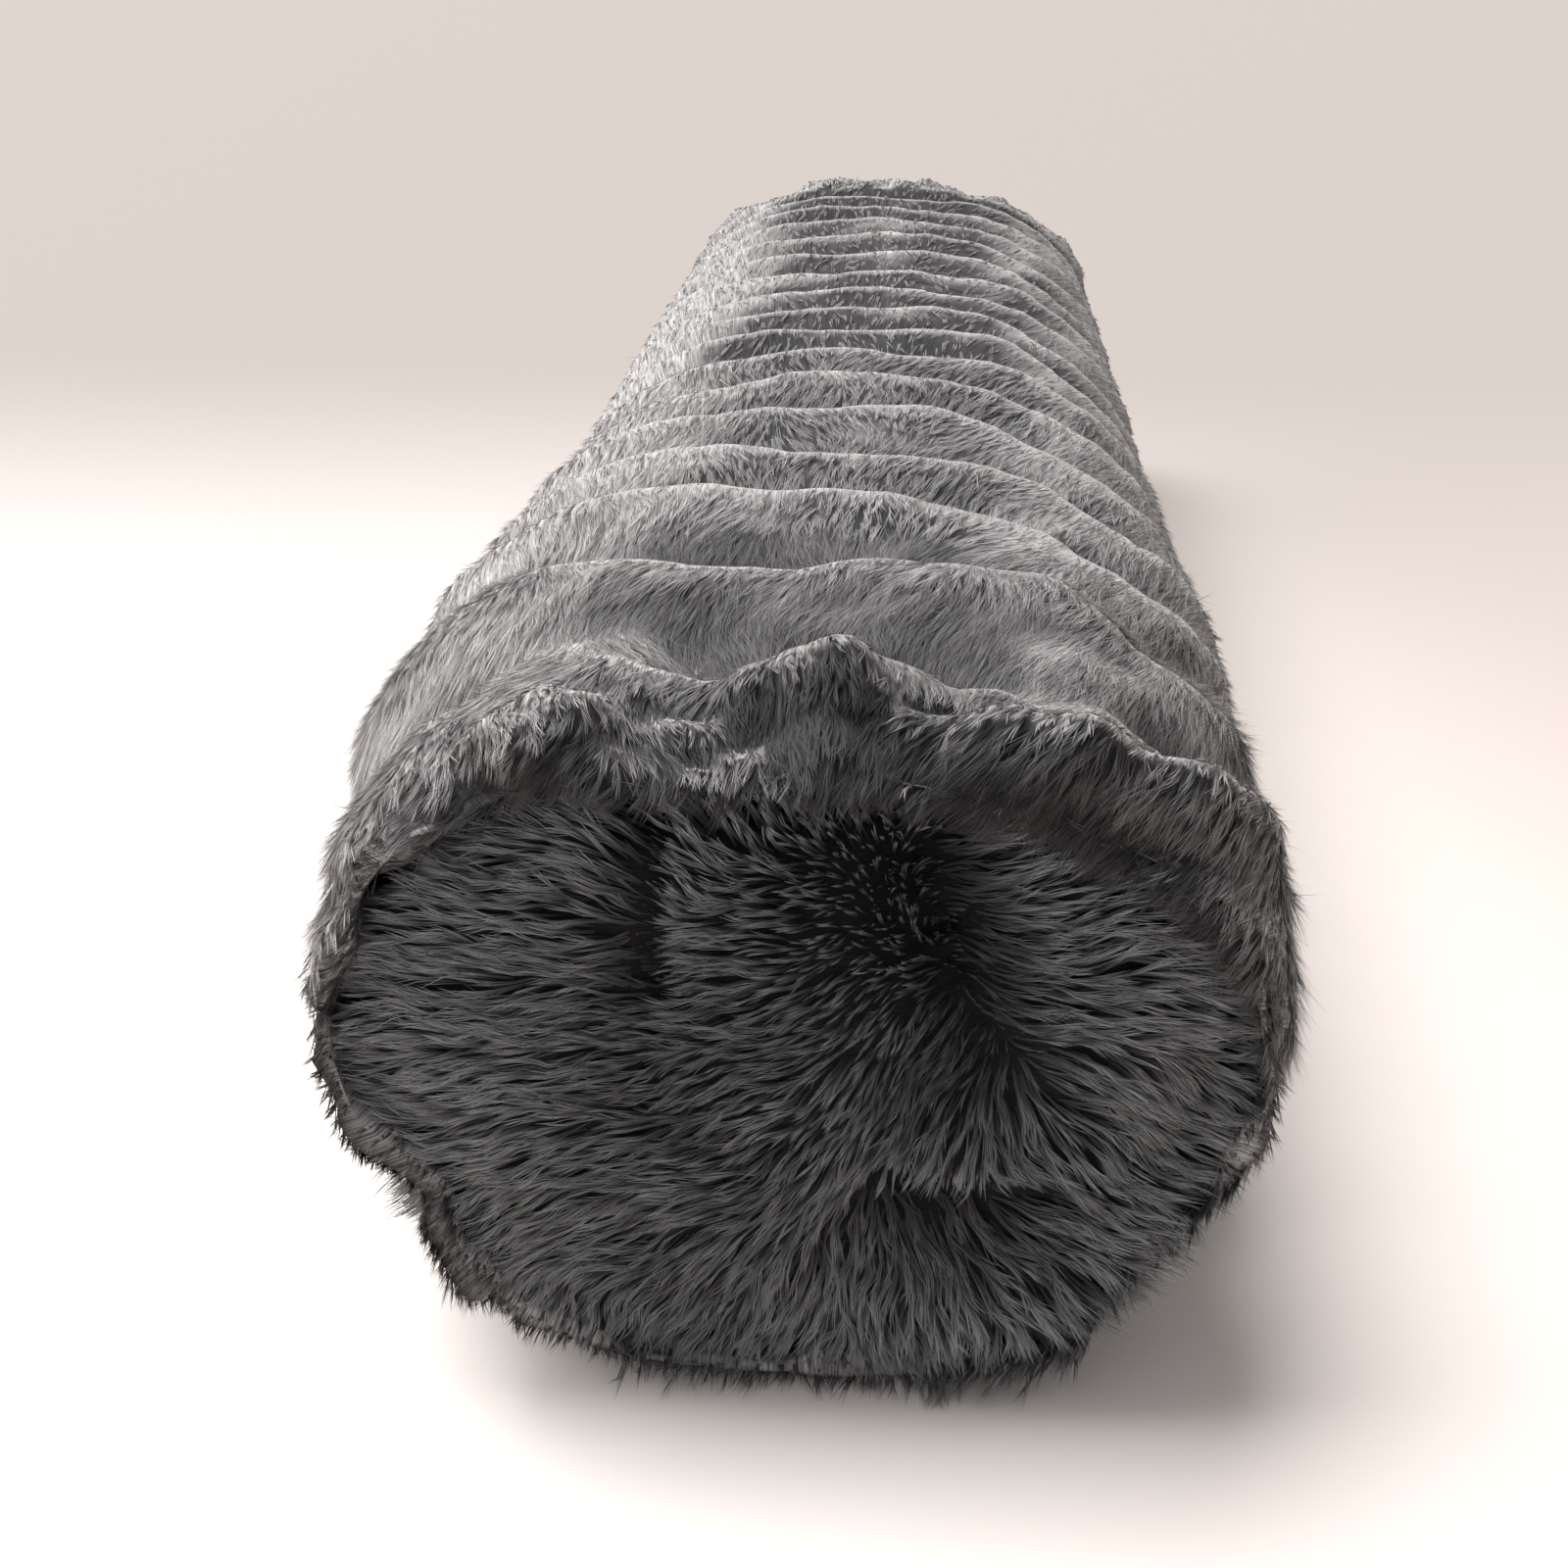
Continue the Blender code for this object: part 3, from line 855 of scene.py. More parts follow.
NEAR_FOLDS = (
    # The low fold at the left end of the lip, and the two upright rolls below it
    Fold(((-0.095, -0.678, 0.262), (-0.148, -0.686, 0.238)), 13 * MM, 8 * MM),
    Fold(((-0.110, -0.650, 0.262), (-0.160, -0.660, 0.238)), -6 * MM, 8 * MM),
    Fold(((-0.152, -0.683, 0.215), (-0.160, -0.683, 0.160)), 7 * MM, 9 * MM),
    Fold(((-0.134, -0.680, 0.215), (-0.140, -0.680, 0.160)), -9 * MM, 7 * MM),
    Fold(((-0.166, -0.680, 0.135), (-0.160, -0.680, 0.100)), 5 * MM, 10 * MM),
    # A ridge from the first roll down to the lip, with a hollow beside it
    Fold(((-0.055, -0.500, 0.283), (-0.068, -0.600, 0.272), (-0.088, -0.650, 0.265)), 5 * MM, 9 * MM),
    Fold(((-0.042, -0.560, 0.270), (-0.030, -0.640, 0.265)), -8 * MM, 13 * MM),
    # The two bulges of the lip, and the roll that starts beside them and runs down the right
    Fold(((-0.085, -0.672, 0.262), (-0.055, -0.657, 0.270), (-0.030, -0.668, 0.265)), 5 * MM, 10 * MM),
    Fold(((-0.019, -0.662, 0.272), (0.012, -0.639, 0.281), (0.058, -0.657, 0.272)), 6 * MM, 11 * MM),
    Fold(
        (
            (0.063, -0.682, 0.268),
            (0.079, -0.676, 0.276),
            (0.099, -0.672, 0.270),
            (0.123, -0.667, 0.255),
            (0.146, -0.656, 0.235),
            (0.163, -0.640, 0.210),
        ),
        15 * MM,
        12 * MM,
    ),
    Fold(
        (
            (0.050, -0.650, 0.275),
            (0.079, -0.640, 0.272),
            (0.103, -0.636, 0.265),
            (0.127, -0.628, 0.250),
            (0.150, -0.614, 0.232),
            (0.168, -0.600, 0.205),
        ),
        -17 * MM,
        9 * MM,
    ),
    # The hollow between the first roll and the lip's middle bulge
    Fold(((-0.020, -0.580, 0.270), (0.030, -0.575, 0.275)), -9 * MM, 22 * MM),
    Fold(((0.125, -0.585, 0.262), (0.155, -0.580, 0.235), (0.175, -0.575, 0.200)), 6 * MM, 9 * MM),
)


@dataclass(frozen=True)
class Parting:
    """A line on a panel where pile parts: from one place in x and z to the next, with how wide it is, how
    deep, and how much painted shade darkens it.
    """

    line: tuple[tuple[float, float], ...]
    spread: float
    depth: float
    shade: float

    def nearness(self, points: np.ndarray) -> np.ndarray:
        """1 on the line, falling to nothing beside it."""
        return np.exp(-((off_line(points[:, [0, 2]], self.line) / self.spread) ** 2))


NEAR_PARTINGS = (
    # The straight one left of the middle, and the long bent one that runs down to the pucker
    Parting(((-0.040, 0.232), (-0.042, 0.204), (-0.041, 0.172)), 5 * MM, 6 * MM, 1.7),
    Parting(((0.057, 0.237), (0.051, 0.220), (0.057, 0.198)), 5 * MM, 5 * MM, 1.6),
    Parting(((0.057, 0.198), (0.063, 0.179), (0.077, 0.152)), 6 * MM, 7 * MM, 1.8),
    # The lower pucker with its edge to the right, and a dip in the middle of the left half
    Parting(((0.042, 0.100), (0.050, 0.094)), 7 * MM, 8 * MM, 1.9),
    Parting(((0.042, 0.099), (0.066, 0.096), (0.094, 0.098)), 5 * MM, 5 * MM, 1.5),
    Parting(((-0.057, 0.133), (-0.031, 0.131), (-0.001, 0.110)), 5 * MM, 3 * MM, 0.8),
    # The patch that is seen end on, where the pile stands towards the eye: painted shade darkens it and
    # its pile is shorter
    Parting(((0.034, 0.236), (0.030, 0.196)), 17 * MM, 0.0, 0.75),
    # The middle, where the pile stands a little and its roots show: painted shade darkens it and its pile
    # is shorter
    Parting(((-0.020, 0.145), (0.045, 0.150)), 30 * MM, 0.0, 0.8),
    # A groove beside the left lobe
    Parting(((-0.142, 0.222), (-0.148, 0.190), (-0.146, 0.158)), 5 * MM, 3 * MM, 0.8),
)
FAR_PARTINGS = (Parting(((-0.030, 0.190), (-0.044, 0.120)), 5 * MM, 4 * MM, 0.8),)


@dataclass
class EndPanel:
    """A crowned plush panel, sewn a little inside the gathered rim of the tube."""

    end: End
    node: str
    strokes: tuple[Stroke, ...]
    partings: tuple[Parting, ...]
    piles: tuple[tuple[Pile, float, float], ...]
    stroke_reach: float = 0.012
    pile_depth: float = 8 * MM
    facing: float = 0.62
    longest: float = 27 * MM
    steepness: float = 0.10
    foot_top: float = 0.075
    foot_over: float = 0.05
    deep_parting: float = 4 * MM
    crossing: float = 0.45
    halts: tuple[float, ...] = (0.022, 0.016, 0.010, 0.005)
    edge_facing: float = 0.10

    def comb(self, places: np.ndarray, outs: np.ndarray) -> Combed:
        """How the pile lies, from the strokes nearest to each place.

        Args:
            places: where the pile grows.
            outs: not used.

        Returns:
            The lie of the pile.
        """
        spots = np.array([(s.x, s.z) for s in self.strokes])
        headings = np.radians([s.heading for s in self.strokes])
        lifts = np.array([s.lift for s in self.strokes])
        apart = np.linalg.norm(places[:, None, [0, 2]] - spots[None], axis=2)
        nearest = apart.min(axis=1, keepdims=True)
        weight = np.exp(-((apart**2 - nearest**2) / self.stroke_reach**2))
        weight /= weight.sum(axis=1, keepdims=True)
        x = (weight * np.cos(headings)).sum(axis=1)
        z = (weight * np.sin(headings)).sum(axis=1)
        bend = 0.20 * ripple(places, 0.028, Pattern.PANEL_BEND)
        bend += 0.15 * ripple(places, 0.010, Pattern.PANEL_FINE_BEND)
        c, s = np.cos(bend), np.sin(bend)
        along = np.stack([c * x - s * z, np.zeros(len(places)), s * x + c * z], axis=1)
        lift = (weight * lifts).sum(axis=1) + 0.35 * (1 - np.hypot(x, z))
        low = ease((self.foot_top - places[:, 2]) / self.foot_over)
        length = 1 + 0.05 * low + 0.10 * ripple(places, 0.04, Pattern.PANEL_LENGTH)
        length *= 1 - 0.45 * ease(lift)
        tone = np.zeros(len(places))
        for parting in self.partings:
            near = parting.nearness(places)
            # Painted shade darkens each parting
            tone -= parting.shade * near
            length *= 1 - 0.35 * near * min(1.0, parting.shade)

            # Pile stops short of a deep parting instead of lying across it
            if parting.depth > self.deep_parting:
                for way in self.halts:
                    crossing = parting.nearness(places + along * way) > self.crossing
                    length = np.where(crossing, np.minimum(length, way / self.longest), length)
        return Combed(along, self.steepness + lift, length, tone)

    def share(self, low: float, high: float) -> Thickness:
        """How thickly pile stands between two heights.

        Args:
            low: the lower end of the stretch, along Z.
            high: its upper end.

        Returns:
            A function that gives the thickness at a place: pile stands on the face and the edge.
        """

        def thickness(places: np.ndarray, outs: np.ndarray) -> np.ndarray:
            facing = outs[:, 1] * self.end.value
            within = (places[:, 2] >= low) & (places[:, 2] < high)
            return np.where((facing > self.edge_facing) & within, 1.0, 0.0)

        return thickness

    def folds(self, points: np.ndarray, outs: np.ndarray) -> np.ndarray:
        """The partings press the skin in, deeper than they are in its solid."""
        depth = np.zeros(len(points))
        for parting in self.partings:
            depth += parting.depth * parting.nearness(points)
        return outs * -depth[:, None]

    def nap(self, points: np.ndarray) -> np.ndarray:
        """Maps the nap of the backing by height and side."""
        return points[:, [2, 0]]

    def build(
        self, frame: dict[str, Any], pile_finish: Material, backing: Material
    ) -> list[bpy.types.Object]:
        """Makes the panel's skin and pile.

        Args:
            frame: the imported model.
            pile_finish: the finish of the pile.
            backing: the finish of the skin.

        Returns:
            The panel's pieces, its skin first.
        """
        skin = Skin(f"{self.node}_skin", self.node, depth=self.pile_depth)
        backed = skin.build(frame, self.folds, self.nap, backing)
        turf = Turf.of(backed.data)
        straight = np.array([0.0, self.end.value, 0.0])
        turf.outs = unit(turf.outs * (1 - self.facing) + straight * self.facing)
        pieces = [backed]
        for pile, low, high in self.piles:
            pieces.append(pile.grow(turf, self.share(low, high), self.comb, pile_finish))
        return pieces


# How far the near rim is drawn in under the panel's long pile, by the angle round it
RIM_TUCKS = (
    (190, 0.0),
    (204, 0.9),
    (216, 0.2),
    (230, 0.0),
    (300, 0.0),
    (310, 0.15),
    (318, 0.5),
    (330, 1.0),
    (350, 0.0),
)


@dataclass
class RuchedTube:
    """The long tube: rolls of ruched cloth between two gathered rims, with its pile brushed nearwards."""

    node: str
    length: float
    width: float
    height: float
    pile_depth: float = 5 * MM
    fullness: float = 1.60
    far_fullness: float = 0.90
    gathers: int = 31
    gather_height: float = 1.3 * MM
    gather_reach: float = 0.085
    lump_height: float = 0.9 * MM
    crumple_height: float = 0.5 * MM
    tuck_depth: float = 20 * MM
    tuck_reach: float = 0.12
    right_lean: float = 0.50
    flank_fall: float = 0.30
    steepness: float = 0.16
    far_painted_shade: float = 0.10
    roundness: float = 2.4
    seat_depth: float = 0.06
    near_seat: float = 0.71
    far_seat: float = 0.80
    lip_inside: float = 0.935
    lip_flattening: float = 0.75
    crevice_from: float = 0.93
    crevice_shade: float = 2.6
    back_cropping: float = 0.62
    far_cropping: float = 0.45
    rim_pull: float = 1.6
    front_density: float = 1.5
    backing_tones: tuple[float, float] = (-0.95, 0.2)
    backing_limits: tuple[float, float] = (-2.9, 0.9)
    backing_shade: float = 2.0

    def from_end(self, places: np.ndarray) -> np.ndarray:
        """How far each place is from the nearer rim."""
        return self.length / 2 - np.abs(places[:, 1])

    def around(self, places: np.ndarray) -> np.ndarray:
        """Each place's angle round the tube."""
        return np.arctan2(places[:, 2] - self.height / 2, places[:, 0])

    def outward(self, places: np.ndarray) -> np.ndarray:
        """The way from the tube's middle line to each place."""
        level = np.zeros(len(places))
        return unit(np.stack([places[:, 0], level, places[:, 2] - self.height / 2], axis=1))

    def folds(self, points: np.ndarray, outs: np.ndarray) -> np.ndarray:
        """How the small gathers, the rim's folds and its lip move the skin.

        Args:
            points: places on the tube.
            outs: the outward direction at each.

        Returns:
            The way that each point moves.
        """
        angle = self.around(points)
        fade = 1 - ease(self.from_end(points) / self.gather_reach)
        uneven = 1.3 * ripple(points, 0.11, Pattern.GATHERS)
        height = self.gather_height * fade * np.sin(self.gathers * angle + uneven)
        lively = 1 + ease((-0.30 - points[:, 1]) / 0.20)
        lumps = self.lump_height * lively * ripple(points, 0.042, Pattern.LUMPS)
        height += lumps + self.crumple_height * ripple(points, 0.016, Pattern.CRUMPLES)
        for fold in NEAR_FOLDS:
            height += fold.rise(points)
        tuck = self.tuck_depth * self.tucked(points)
        return outs * height[:, None] - self.outward(points) * tuck[:, None]

    def tucked(self, places: np.ndarray) -> np.ndarray:
        """How far the near rim is drawn in under the panel's long pile, round its foot."""
        angles, shares = zip(*RIM_TUCKS)
        round_it = np.interp(np.degrees(self.around(places)), angles, shares, period=360)
        near = ease((self.tuck_reach - places[:, 1] - self.length / 2) / self.tuck_reach)
        return round_it * near

    def nap(self, points: np.ndarray) -> np.ndarray:
        """Maps the nap: across it by the way round the tube, along it by the way along the tube."""
        turned = np.arctan2(points[:, 0], points[:, 2] - self.height / 2)
        across = turned * (self.width + self.height) / 4
        lean = self.right_lean * ease(points[:, 0] / 0.10)
        return np.stack([across - lean * points[:, 1], points[:, 1]], axis=1)

    def comb(self, places: np.ndarray, outs: np.ndarray) -> Combed:
        """The pile is brushed towards the near end, and falls outwards over both rims.

        Args:
            places: where the pile grows.
            outs: the outward direction there.

        Returns:
            The lie of the pile.
        """
        right = ease(places[:, 0] / 0.10) * ease((outs[:, 2] + 0.3) / 0.8)
        away = self.outward(places)
        level = np.zeros(len(places))
        lean = 0.26 * ripple(places, 0.070, Pattern.LEAN)
        lean += 0.10 * ripple(places, 0.024, Pattern.FINE_LEAN)
        fall = -self.flank_fall * np.abs(away[:, 0])
        along = np.stack([lean - self.right_lean * right, level - 1, fall], axis=1)
        near = self.fronting(outs, End.NEAR)
        far = self.fronting(outs, End.FAR)
        x, z, lift = (self.round_rim(places, part) for part in ("x", "z", "lift"))
        lift = lift * (1 - self.lip_flattening * ease((self.lip_inside - self.across(places)) / 0.03))
        along += self.rim_pull * near[:, None] * np.stack([x + lean, level, z], axis=1)
        along += self.rim_pull * far[:, None] * (away + [0.0, 0.0, -0.3])
        uneven = 1 + 0.2 * ripple(places, 0.05, Pattern.STEEPNESS)
        steep = self.steepness * uneven * (1 - near) + lift * near
        length = 1 + 0.10 * ripple(places, 0.045, Pattern.LENGTH)
        length *= 1 - near + near * self.round_rim(places, "length")
        length *= 1 - self.back_cropping * ease((outs[:, 1] - 0.02) / 0.30) * (1 - far)
        length *= 1 - self.far_cropping * far
        # Painted light and shade: the rim's strokes darken cloth that faces nearwards at their angles
        # round the tube, anywhere along it, or pale it where below 0; painted shade fills the lip's
        # crevice and darkens the cloth towards the far end
        shade = self.round_rim(places, "shade")
        facing = np.where(shade > 0, ease(-outs[:, 1] / 0.45), near)
        crevice = self.crevice_shade * ease((self.crevice_from - self.across(places)) / 0.07)
        turned_in = ease(-(outs * away).sum(axis=1) / 0.3) * (places[:, 1] < 0)
        tone = -facing * shade - np.maximum(near, turned_in) * crevice
        tone -= self.far_painted_shade * ease((places[:, 1] + 0.1) / 0.6)
        return Combed(along, steep, length, tone)

    def fronting(self, outs: np.ndarray, end: End) -> np.ndarray:
        """How far the cloth faces the way that an end does, from 0 to 1."""
        return ease((outs[:, 1] * end.value - 0.35) / 0.35)

    def round_rim(self, places: np.ndarray, part: str) -> np.ndarray:
        """One part of the near rim's strokes at each place's angle round the tube."""
        angles = [stroke.angle for stroke in RIM_STROKES]
        parts = [getattr(stroke, part) for stroke in RIM_STROKES]
        return np.interp(np.degrees(self.around(places)), angles, parts, period=360)

    def across(self, places: np.ndarray) -> np.ndarray:
        """How far out each place is from the tube's middle line, 1 at its outline."""
        x = places[:, 0] / (self.width / 2)
        z = (places[:, 2] - self.height / 2) / (self.height / 2)
        return (np.abs(x) ** self.roundness + np.abs(z) ** self.roundness) ** (1 / self.roundness)

    def inside_seat(self, places: np.ndarray) -> np.ndarray:
        """Whether each place lies in the seat of an end panel, where no pile shows."""
        by_rim = np.abs(places[:, 1]) > self.length / 2 - self.seat_depth
        return by_rim & (self.across(places) < np.where(places[:, 1] < 0, self.near_seat, self.far_seat))

    def share(self, low: float, high: float) -> Thickness:
        """How thickly pile stands between two places along the tube.

        Args:
            low: the lower end of the stretch, along Y.
            high: its upper end.

        Returns:
            A function that gives the thickness at a place.
        """

        def thickness(places: np.ndarray, outs: np.ndarray) -> np.ndarray:
            within = (places[:, 1] >= low) & (places[:, 1] < high) & ~self.inside_seat(places)
            under = 1 - 0.45 * ease((-outs[:, 2] - 0.1) / 0.4) - 0.45 * ease((-outs[:, 2] - 0.6) / 0.3)
            front = 1 + self.front_density * self.fronting(outs, End.NEAR)
            return np.where(within, front * under * (1 - self.footing(places, outs)), 0.0)

        return thickness

    def footing(self, places: np.ndarray, outs: np.ndarray) -> np.ndarray:
        """How far each place is on the front of the near foot, which has pile like the panel's."""
        return ease(self.tucked(places) * 2) * ease((0.4 - outs[:, 1]) / 0.3)

    def build(
        self,
        frame: dict[str, Any],
        stretches: Iterable[tuple[Pile, float, float, Material]],
        foot: tuple[Pile, Material],
        backing: Material,
    ) -> list[bpy.types.Object]:
        """Makes the tube's skin and its pile.

        Args:
            frame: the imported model.
            stretches: each stretch of pile, where along Y it starts and stops, and its finish.
            foot: the pile of the near foot, and its finish.
            backing: the finish of the skin.

        Returns:
            The tube's pieces, its skin first.
        """
        skin = Skin(
            f"{self.node}_skin",
            self.node,
            depth=self.pile_depth,
            fullness=self.fullness,
            far_fullness=self.far_fullness,
            fine_beyond=self.length / 2 - self.gather_reach,
            settle=3,
        )
        backed = skin.build(frame, self.folds, self.nap, backing)
        turf = Turf.of(backed.data)
        # The skin takes the comb's painted shade as well, on top of its painted light and shade from the
        # relief
        shade = self.backing_shade * self.comb(turf.points, turf.outs).tone
        toned = np.clip(np.clip(turf.crests, *self.backing_tones) + shade, *self.backing_limits)
        backed.data.attributes["painted_light_and_shade"].data.foreach_set("value", toned.astype(np.float32))
        pieces = [backed]
        for pile, low, high, finish in stretches:
            pieces.append(pile.grow(turf, self.share(low, high), self.comb, finish))
        fringe, finish = foot
        pieces.append(fringe.grow(turf, self.footing, self.comb, finish))
        return pieces


@dataclass
class Studio:
    """The plain floor, the soft lights and the camera."""

    camera_place: tuple[float, float, float] = (0.0472, -1.3251, 0.5296)
    camera_down: float = 23.609
    camera_left: float = 4.016
    lens: float = 48.09
    floor_size: float = 40.0
    floor_left: str = "#EFE8E3"
    floor_right_painted_shadow: str = "#BFB3AD"
    floor_back: str = "#97908C"
    right_starts: float = 0.0
    right_ends: float = 0.60
    back_starts: float = -0.90
    back_ends: float = 1.15
    daylight: str = "#FFFEFD"
    room_light: str = "#F3F1F2"
    room_strength: float = 0.56

    def floor(self) -> bpy.types.Object:
        """Makes the floor: pale in front, darker to the right with a painted shadow, and a warmer grey
        behind the pillow.

        Returns:
            The floor.
        """
        half = self.floor_size / 2
        corners = [(-half, -half, 0.0), (half, -half, 0.0), (half, half, 0.0), (-half, half, 0.0)]
        mesh = bpy.data.meshes.new("studio_floor")
        mesh.from_pydata(corners, [], [(0, 1, 2, 3)])

        # Matt paint on smooth plaster: no gloss and no grain, so that only the pillow's shadow and the
        # painted shadow to the right show on it
        material, tree, shader = new_finish("painted_plaster")
        place = add_node(tree, "ShaderNodeTexCoord")
        ways = add_node(tree, "ShaderNodeSeparateXYZ", {0: place.outputs["Object"]})
        smooth = {"interpolation_type": "SMOOTHSTEP"}
        # Painted shadow: the floor darkens to the right
        links = {0: ways.outputs["X"], 1: self.right_starts, 2: self.right_ends, 3: 0.0, 4: 1.0}
        side = add_node(tree, "ShaderNodeMapRange", links, **smooth)
        links = {0: ways.outputs["Y"], 1: self.back_starts, 2: self.back_ends, 3: 0.0, 4: 1.0}
        depth = add_node(tree, "ShaderNodeMapRange", links, **smooth)
        links = {0: side.outputs[0], 6: linear(self.floor_left), 7: linear(self.floor_right_painted_shadow)}
        front = add_node(tree, "ShaderNodeMix", links, data_type="RGBA")
        links = {0: depth.outputs[0], 6: front.outputs[2], 7: linear(self.floor_back)}
        colour = add_node(tree, "ShaderNodeMix", links, data_type="RGBA")
        tree.links.new(colour.outputs[2], shader.inputs["Base Color"])
        shader.inputs["Roughness"].default_value = 0.9
        shader.inputs["Specular IOR Level"].default_value = 0.1
        mesh.materials.append(material)
        return add_object("studio_floor", mesh)

    def light(
        self, name: str, towards: tuple[float, float, float], spread: float, strength: float, colour: str
    ) -> None:
        """Adds a soft and distant light.

        Args:
            name: what the light is called.
            towards: the way from the pillow to the light.
            spread: how wide the light looks from the pillow, in degrees.
            strength: its strength in watts per square metre.
            colour: its colour in sRGB hex.
        """
        data = bpy.data.lights.new(name, "SUN")
        data.angle = math.radians(spread)
        data.energy = strength
        data.color = linear(colour)[:3]
        lamp = add_object(name, data)
        x, y, z = towards
        lamp.location = towards
        lamp.rotation_euler = (math.atan2(math.hypot(x, y), z), 0.0, math.atan2(y, x) + math.pi / 2)

    def camera(self) -> None:
        """Adds the camera at the photo's viewing angle."""
        data = bpy.data.cameras.new("camera")
        data.lens = self.lens
        data.sensor_width = 36.0
        data.clip_start, data.clip_end = 0.01, 100.0
        camera = add_object("camera", data)
        camera.location = self.camera_place
        camera.rotation_euler = (math.radians(90 - self.camera_down), 0.0, math.radians(self.camera_left))
        bpy.context.scene.camera = camera

    def build(self) -> None:
        """Sets up the whole studio."""
        self.floor()
        self.light("skylight", (-0.32, 0.36, 1.0), 50.0, 5.0, self.daylight)
        self.light("window", (-1.0, 0.35, 0.60), 60.0, 2.3, self.daylight)
        world = bpy.data.worlds.new("room")
        world.use_nodes = True
        background = world.node_tree.nodes["Background"]
        background.inputs["Color"].default_value = linear(self.room_light)
        background.inputs["Strength"].default_value = self.room_strength
        bpy.context.scene.world = world
        bpy.context.scene.view_settings.view_transform = "Standard"
        self.camera()


def brushed(name: str, locks: int, length: float, width: float, seed: int) -> Pile:
    """The fine, flat-brushed pile of the tube between its rims."""
    lie = {"closing": 0.5, "droop": 0.22, "follow": 0.8, "highest_rise": 0.10}
    return Pile(name, locks, 5, length, width, width * 2.5, Cut.NEEDLE, seed, **lie)


# Brushed flat over the tube's middle: an even grey, silvery where its tips catch the light, and painted
# paler than the same cloth on the panels, as lit on the top
COVER_PILE = AcrylicPile(
    "brushed_acrylic_pile",
    root="#7F7E7E",
    middle="#A5A3A3",
    tip="#D2D0D0",
    lock_contrast=0.28,
    fibre_contrast=0.30,
    crest_contrast=0.24,
    sheen=0.35,
)
# Beyond the middle, where locks are too small to tell apart: quieter, with little contrast
BACK_PILE = AcrylicPile(
    "short_brushed_pile",
    root="#7F7E7E",
    middle="#8F8D8D",
    tip="#A8A6A6",
    lock_contrast=0.14,
    fibre_contrast=0.18,
    crest_contrast=0.20,
    sheen=0.35,
)
# Longer over the first rolls: roots with dark painted shade show between locks, and the tips are painted
# pale as highlights
FRONT_PILE = AcrylicPile(
    "long_brushed_pile",
    root="#424141",
    middle="#888787",
    tip="#D2D0CF",
    lock_contrast=0.50,
    fibre_contrast=0.35,
    crest_contrast=0.36,
    sheen=0.35,
)
# Crushed in the gathered rim: painted shade makes it nearly black in its creases, with painted highlights
# on the tips on the folds
RIM_PILE = AcrylicPile(
    "gathered_acrylic_pile",
    root="#111010",
    middle="#545353",
    tip="#AAA8A8",
    lock_contrast=0.45,
    fibre_contrast=0.35,
    crest_contrast=0.52,
    sheen=0.3,
)
# Longest and combed over the panels: the same cloth as the tube's, painted darker to charcoal as the shade
# on the end panels, with a dull sheen along each lock
SHADED_PANEL_PILE = AcrylicPile(
    "shade_darkened_combed_pile",
    root="#0D0E0E",
    middle="#2E2F30",
    tip="#767879",
    lock_contrast=0.50,
    fibre_contrast=0.45,
    crest_contrast=0.40,
    sheen=0.12,
)
# Short fibres felted on the tube's backing: the same grey as the pile, between its locks
COVER_BACKING = KnittedBacking(
    "felted_backing",
    "#969494",
    fibre_mm=0.6,
    fibre_length_mm=24.0,
    contrast=0.8,
    sheen=0.06,
)
# The knit under the panels' pile, painted near black as the shade between locks, so that the roots are
# lost in it
SHADE_BLACK_PANEL_BACKING = KnittedBacking("shade_black_knitted_backing", "#0F0F0F")


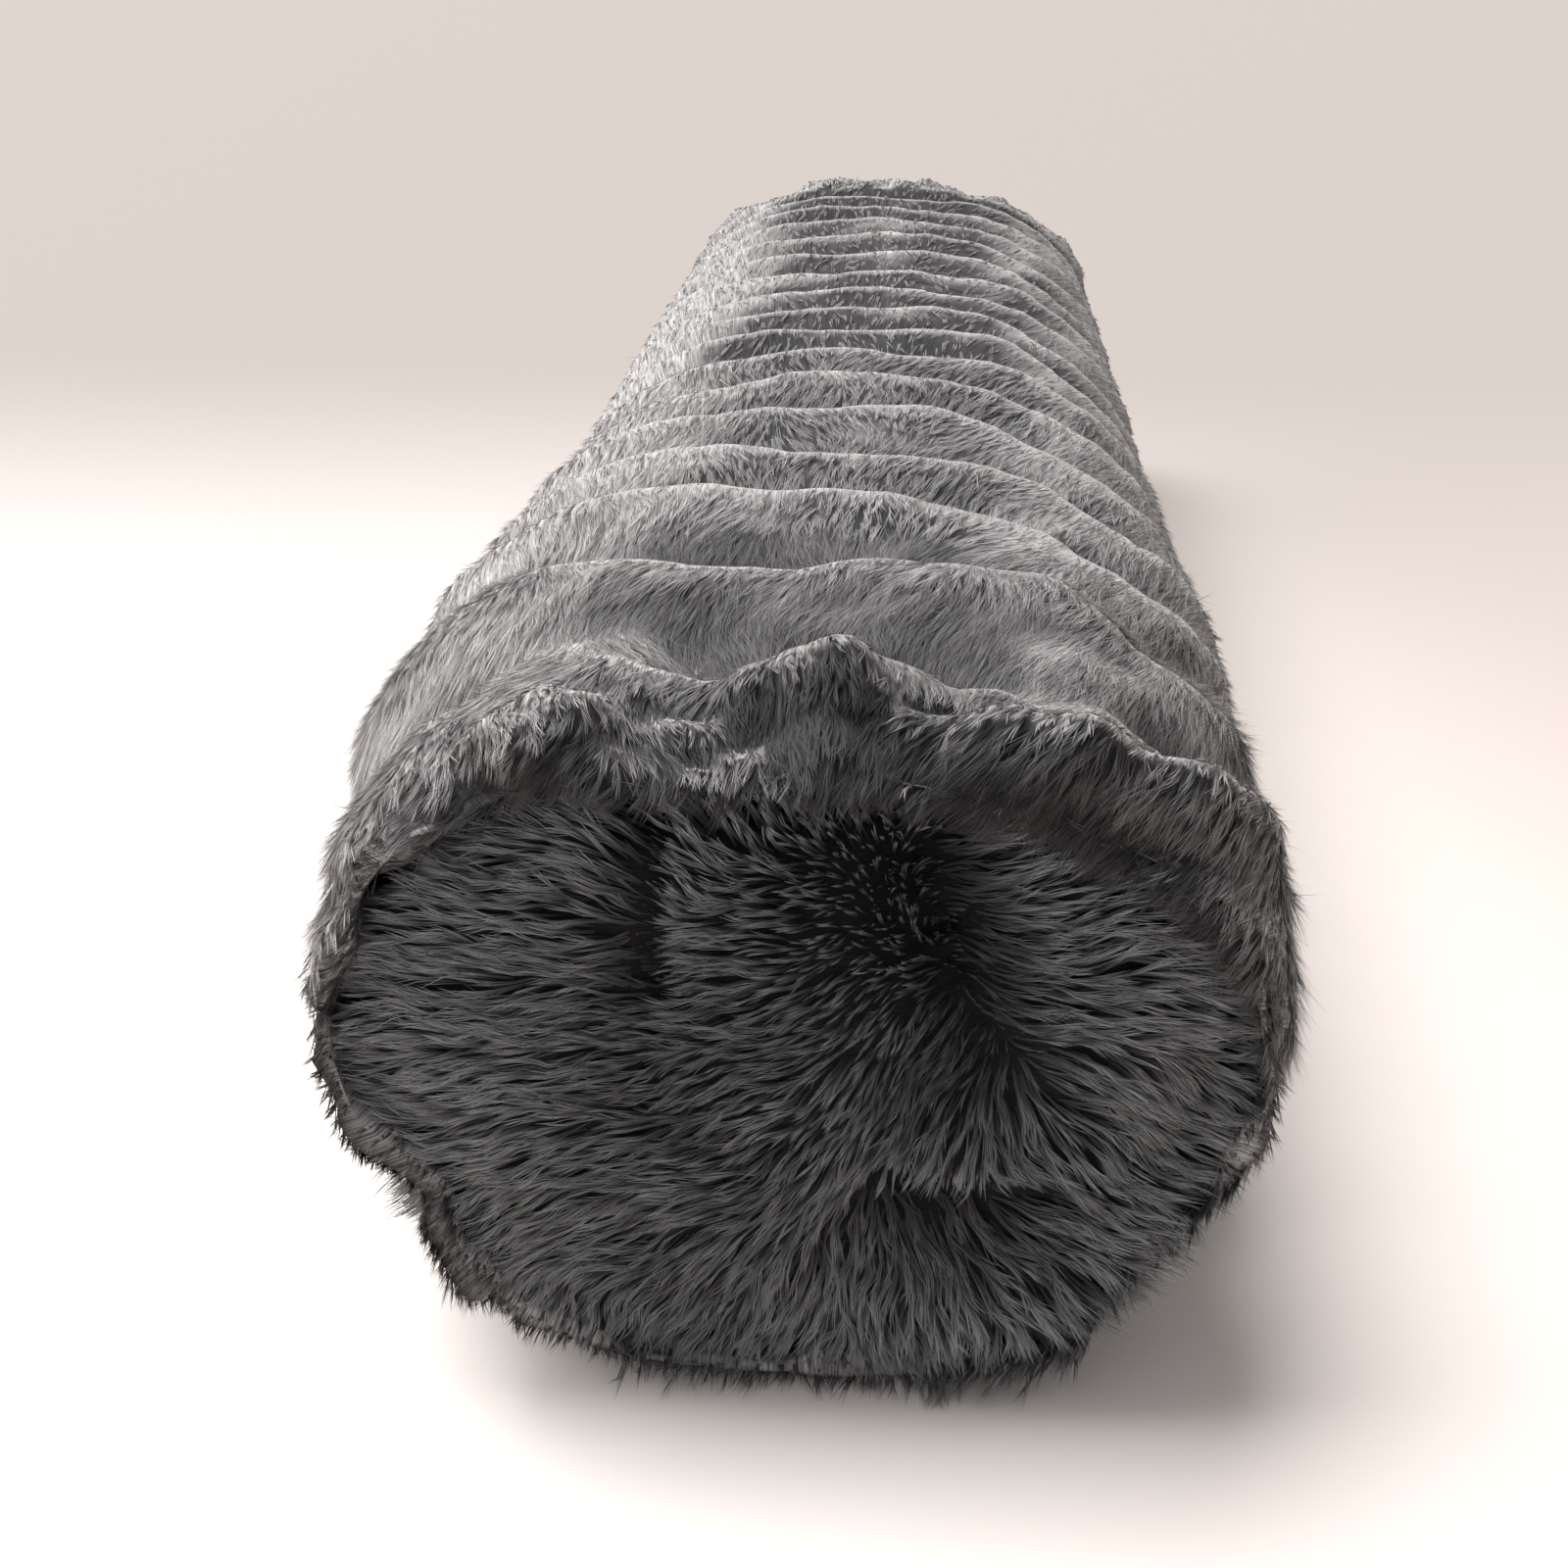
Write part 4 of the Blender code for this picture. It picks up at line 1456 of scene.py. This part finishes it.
@dataclass
class Pillow:
    """The whole pillow: which pile grows where on the tube and on its two end panels."""

    rim_width: float = 0.055
    past_rim: float = 0.02
    front_stops: float = -0.43
    middle_stops: float = -0.05
    panel_parted: float = 0.135
    over_panel: float = 1.0
    filling: float = 0.85

    def tube_piles(self, half: float) -> tuple[tuple[Pile, float, float, Material], ...]:
        """The stretches of pile along the tube.

        Args:
            half: half of the tube's length.

        Returns:
            Each stretch's pile, where along Y it starts and stops, and its finish.
        """
        cover, back, front, rim = (f.build() for f in (COVER_PILE, BACK_PILE, FRONT_PILE, RIM_PILE))
        gathered = {"closing": 0.6, "droop": 0.30, "wave": 0.12, "highest_rise": 0.35}
        near_rim = Pile("near_rim_pile", 11500, 5, 18 * MM, 0.40 * MM, 1.0 * MM, Cut.PLAIN, 30, **gathered)
        far_rim = Pile("far_rim_pile", 3000, 4, 13 * MM, 0.7 * MM, 1.6 * MM, Cut.PLAIN, 34)
        front_pile = brushed("front_pile", 29000, 26 * MM, 0.34 * MM, 31)
        middle_pile = brushed("middle_pile", 21000, 18 * MM, 0.42 * MM, 32)
        back_pile = brushed("back_pile", 10000, 13 * MM, 0.6 * MM, 33)
        sewn = half - self.rim_width
        return (
            (near_rim, -half - self.past_rim, -sewn, rim),
            (front_pile, -sewn, self.front_stops, front),
            (middle_pile, self.front_stops, self.middle_stops, cover),
            (back_pile, self.middle_stops, sewn, back),
            (far_rim, sewn, half + self.past_rim, back),
        )

    def dress(self, frame: dict[str, Any]) -> None:
        """Builds the pillow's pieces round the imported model.

        Args:
            frame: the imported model.
        """
        cover_low, cover_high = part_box("cover")
        size = cover_high - cover_low
        stretches = self.tube_piles(size.y / 2)
        panel_pile = SHADED_PANEL_PILE.build()
        cover_backing, shade_black_backing = COVER_BACKING.build(), SHADE_BLACK_PANEL_BACKING.build()
        combed = {"closing": 0.55, "droop": 0.26, "follow": 0.25, "wave": 0.09, "splay": 0.035}
        foot = Pile("near_foot_pile", 4500, 5, 20 * MM, 0.55 * MM, 0.7 * MM, Cut.PLAIN, 38, **combed)
        thick = (0.50 * MM, 0.6 * MM, Cut.FINE)
        near_piles = (
            (
                Pile("near_end_panel_top_pile", 6100, 5, 27 * MM, *thick, 35, **combed),
                self.panel_parted,
                self.over_panel,
            ),
            (
                Pile("near_end_panel_foot_pile", 6000, 5, 28 * MM, *thick, 37, **combed),
                0.0,
                self.panel_parted,
            ),
        )
        falling = {"closing": 0.60, "droop": 0.20, "follow": 0.50}
        far_size = (24 * MM, 0.8 * MM, 1.1 * MM)
        far_pile = Pile("far_end_panel_pile", 8200, 5, *far_size, Cut.NEEDLE, 36, **falling)
        far_piles = ((far_pile, 0.0, self.over_panel),)
        tube = RuchedTube("cover", size.y, size.x, size.z)
        near = EndPanel(End.NEAR, "near_end_panel", NEAR_STROKES, NEAR_PARTINGS, near_piles)
        far = EndPanel(End.FAR, "far_end_panel", FAR_STROKES, FAR_PARTINGS, far_piles)
        self.place("cover", "cover_pile", tube.build(frame, stretches, (foot, panel_pile), cover_backing))
        self.place("near_end_panel", "panel_pile", near.build(frame, panel_pile, shade_black_backing))
        self.place("far_end_panel", "panel_pile", far.build(frame, panel_pile, shade_black_backing))

    def place(self, node: str, slot: str, pieces: list[bpy.types.Object]) -> None:
        """Says of each piece what it replaces, what it is made of and what it rides on.

        Args:
            node: the soft solid that the pieces replace.
            slot: not used.
            pieces: the pieces, the skin first.
        """
        for piece in pieces:
            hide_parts(node)
            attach(piece, BODY)
        log.info("%s is dressed with %s", node, ", ".join(piece.name for piece in pieces))


def main() -> None:
    """Loads the frame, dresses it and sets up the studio."""
    logging.basicConfig(level=logging.INFO, format="%(message)s")
    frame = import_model()
    Studio().build()
    Pillow().dress(frame)


if __name__ == "__main__":
    main()
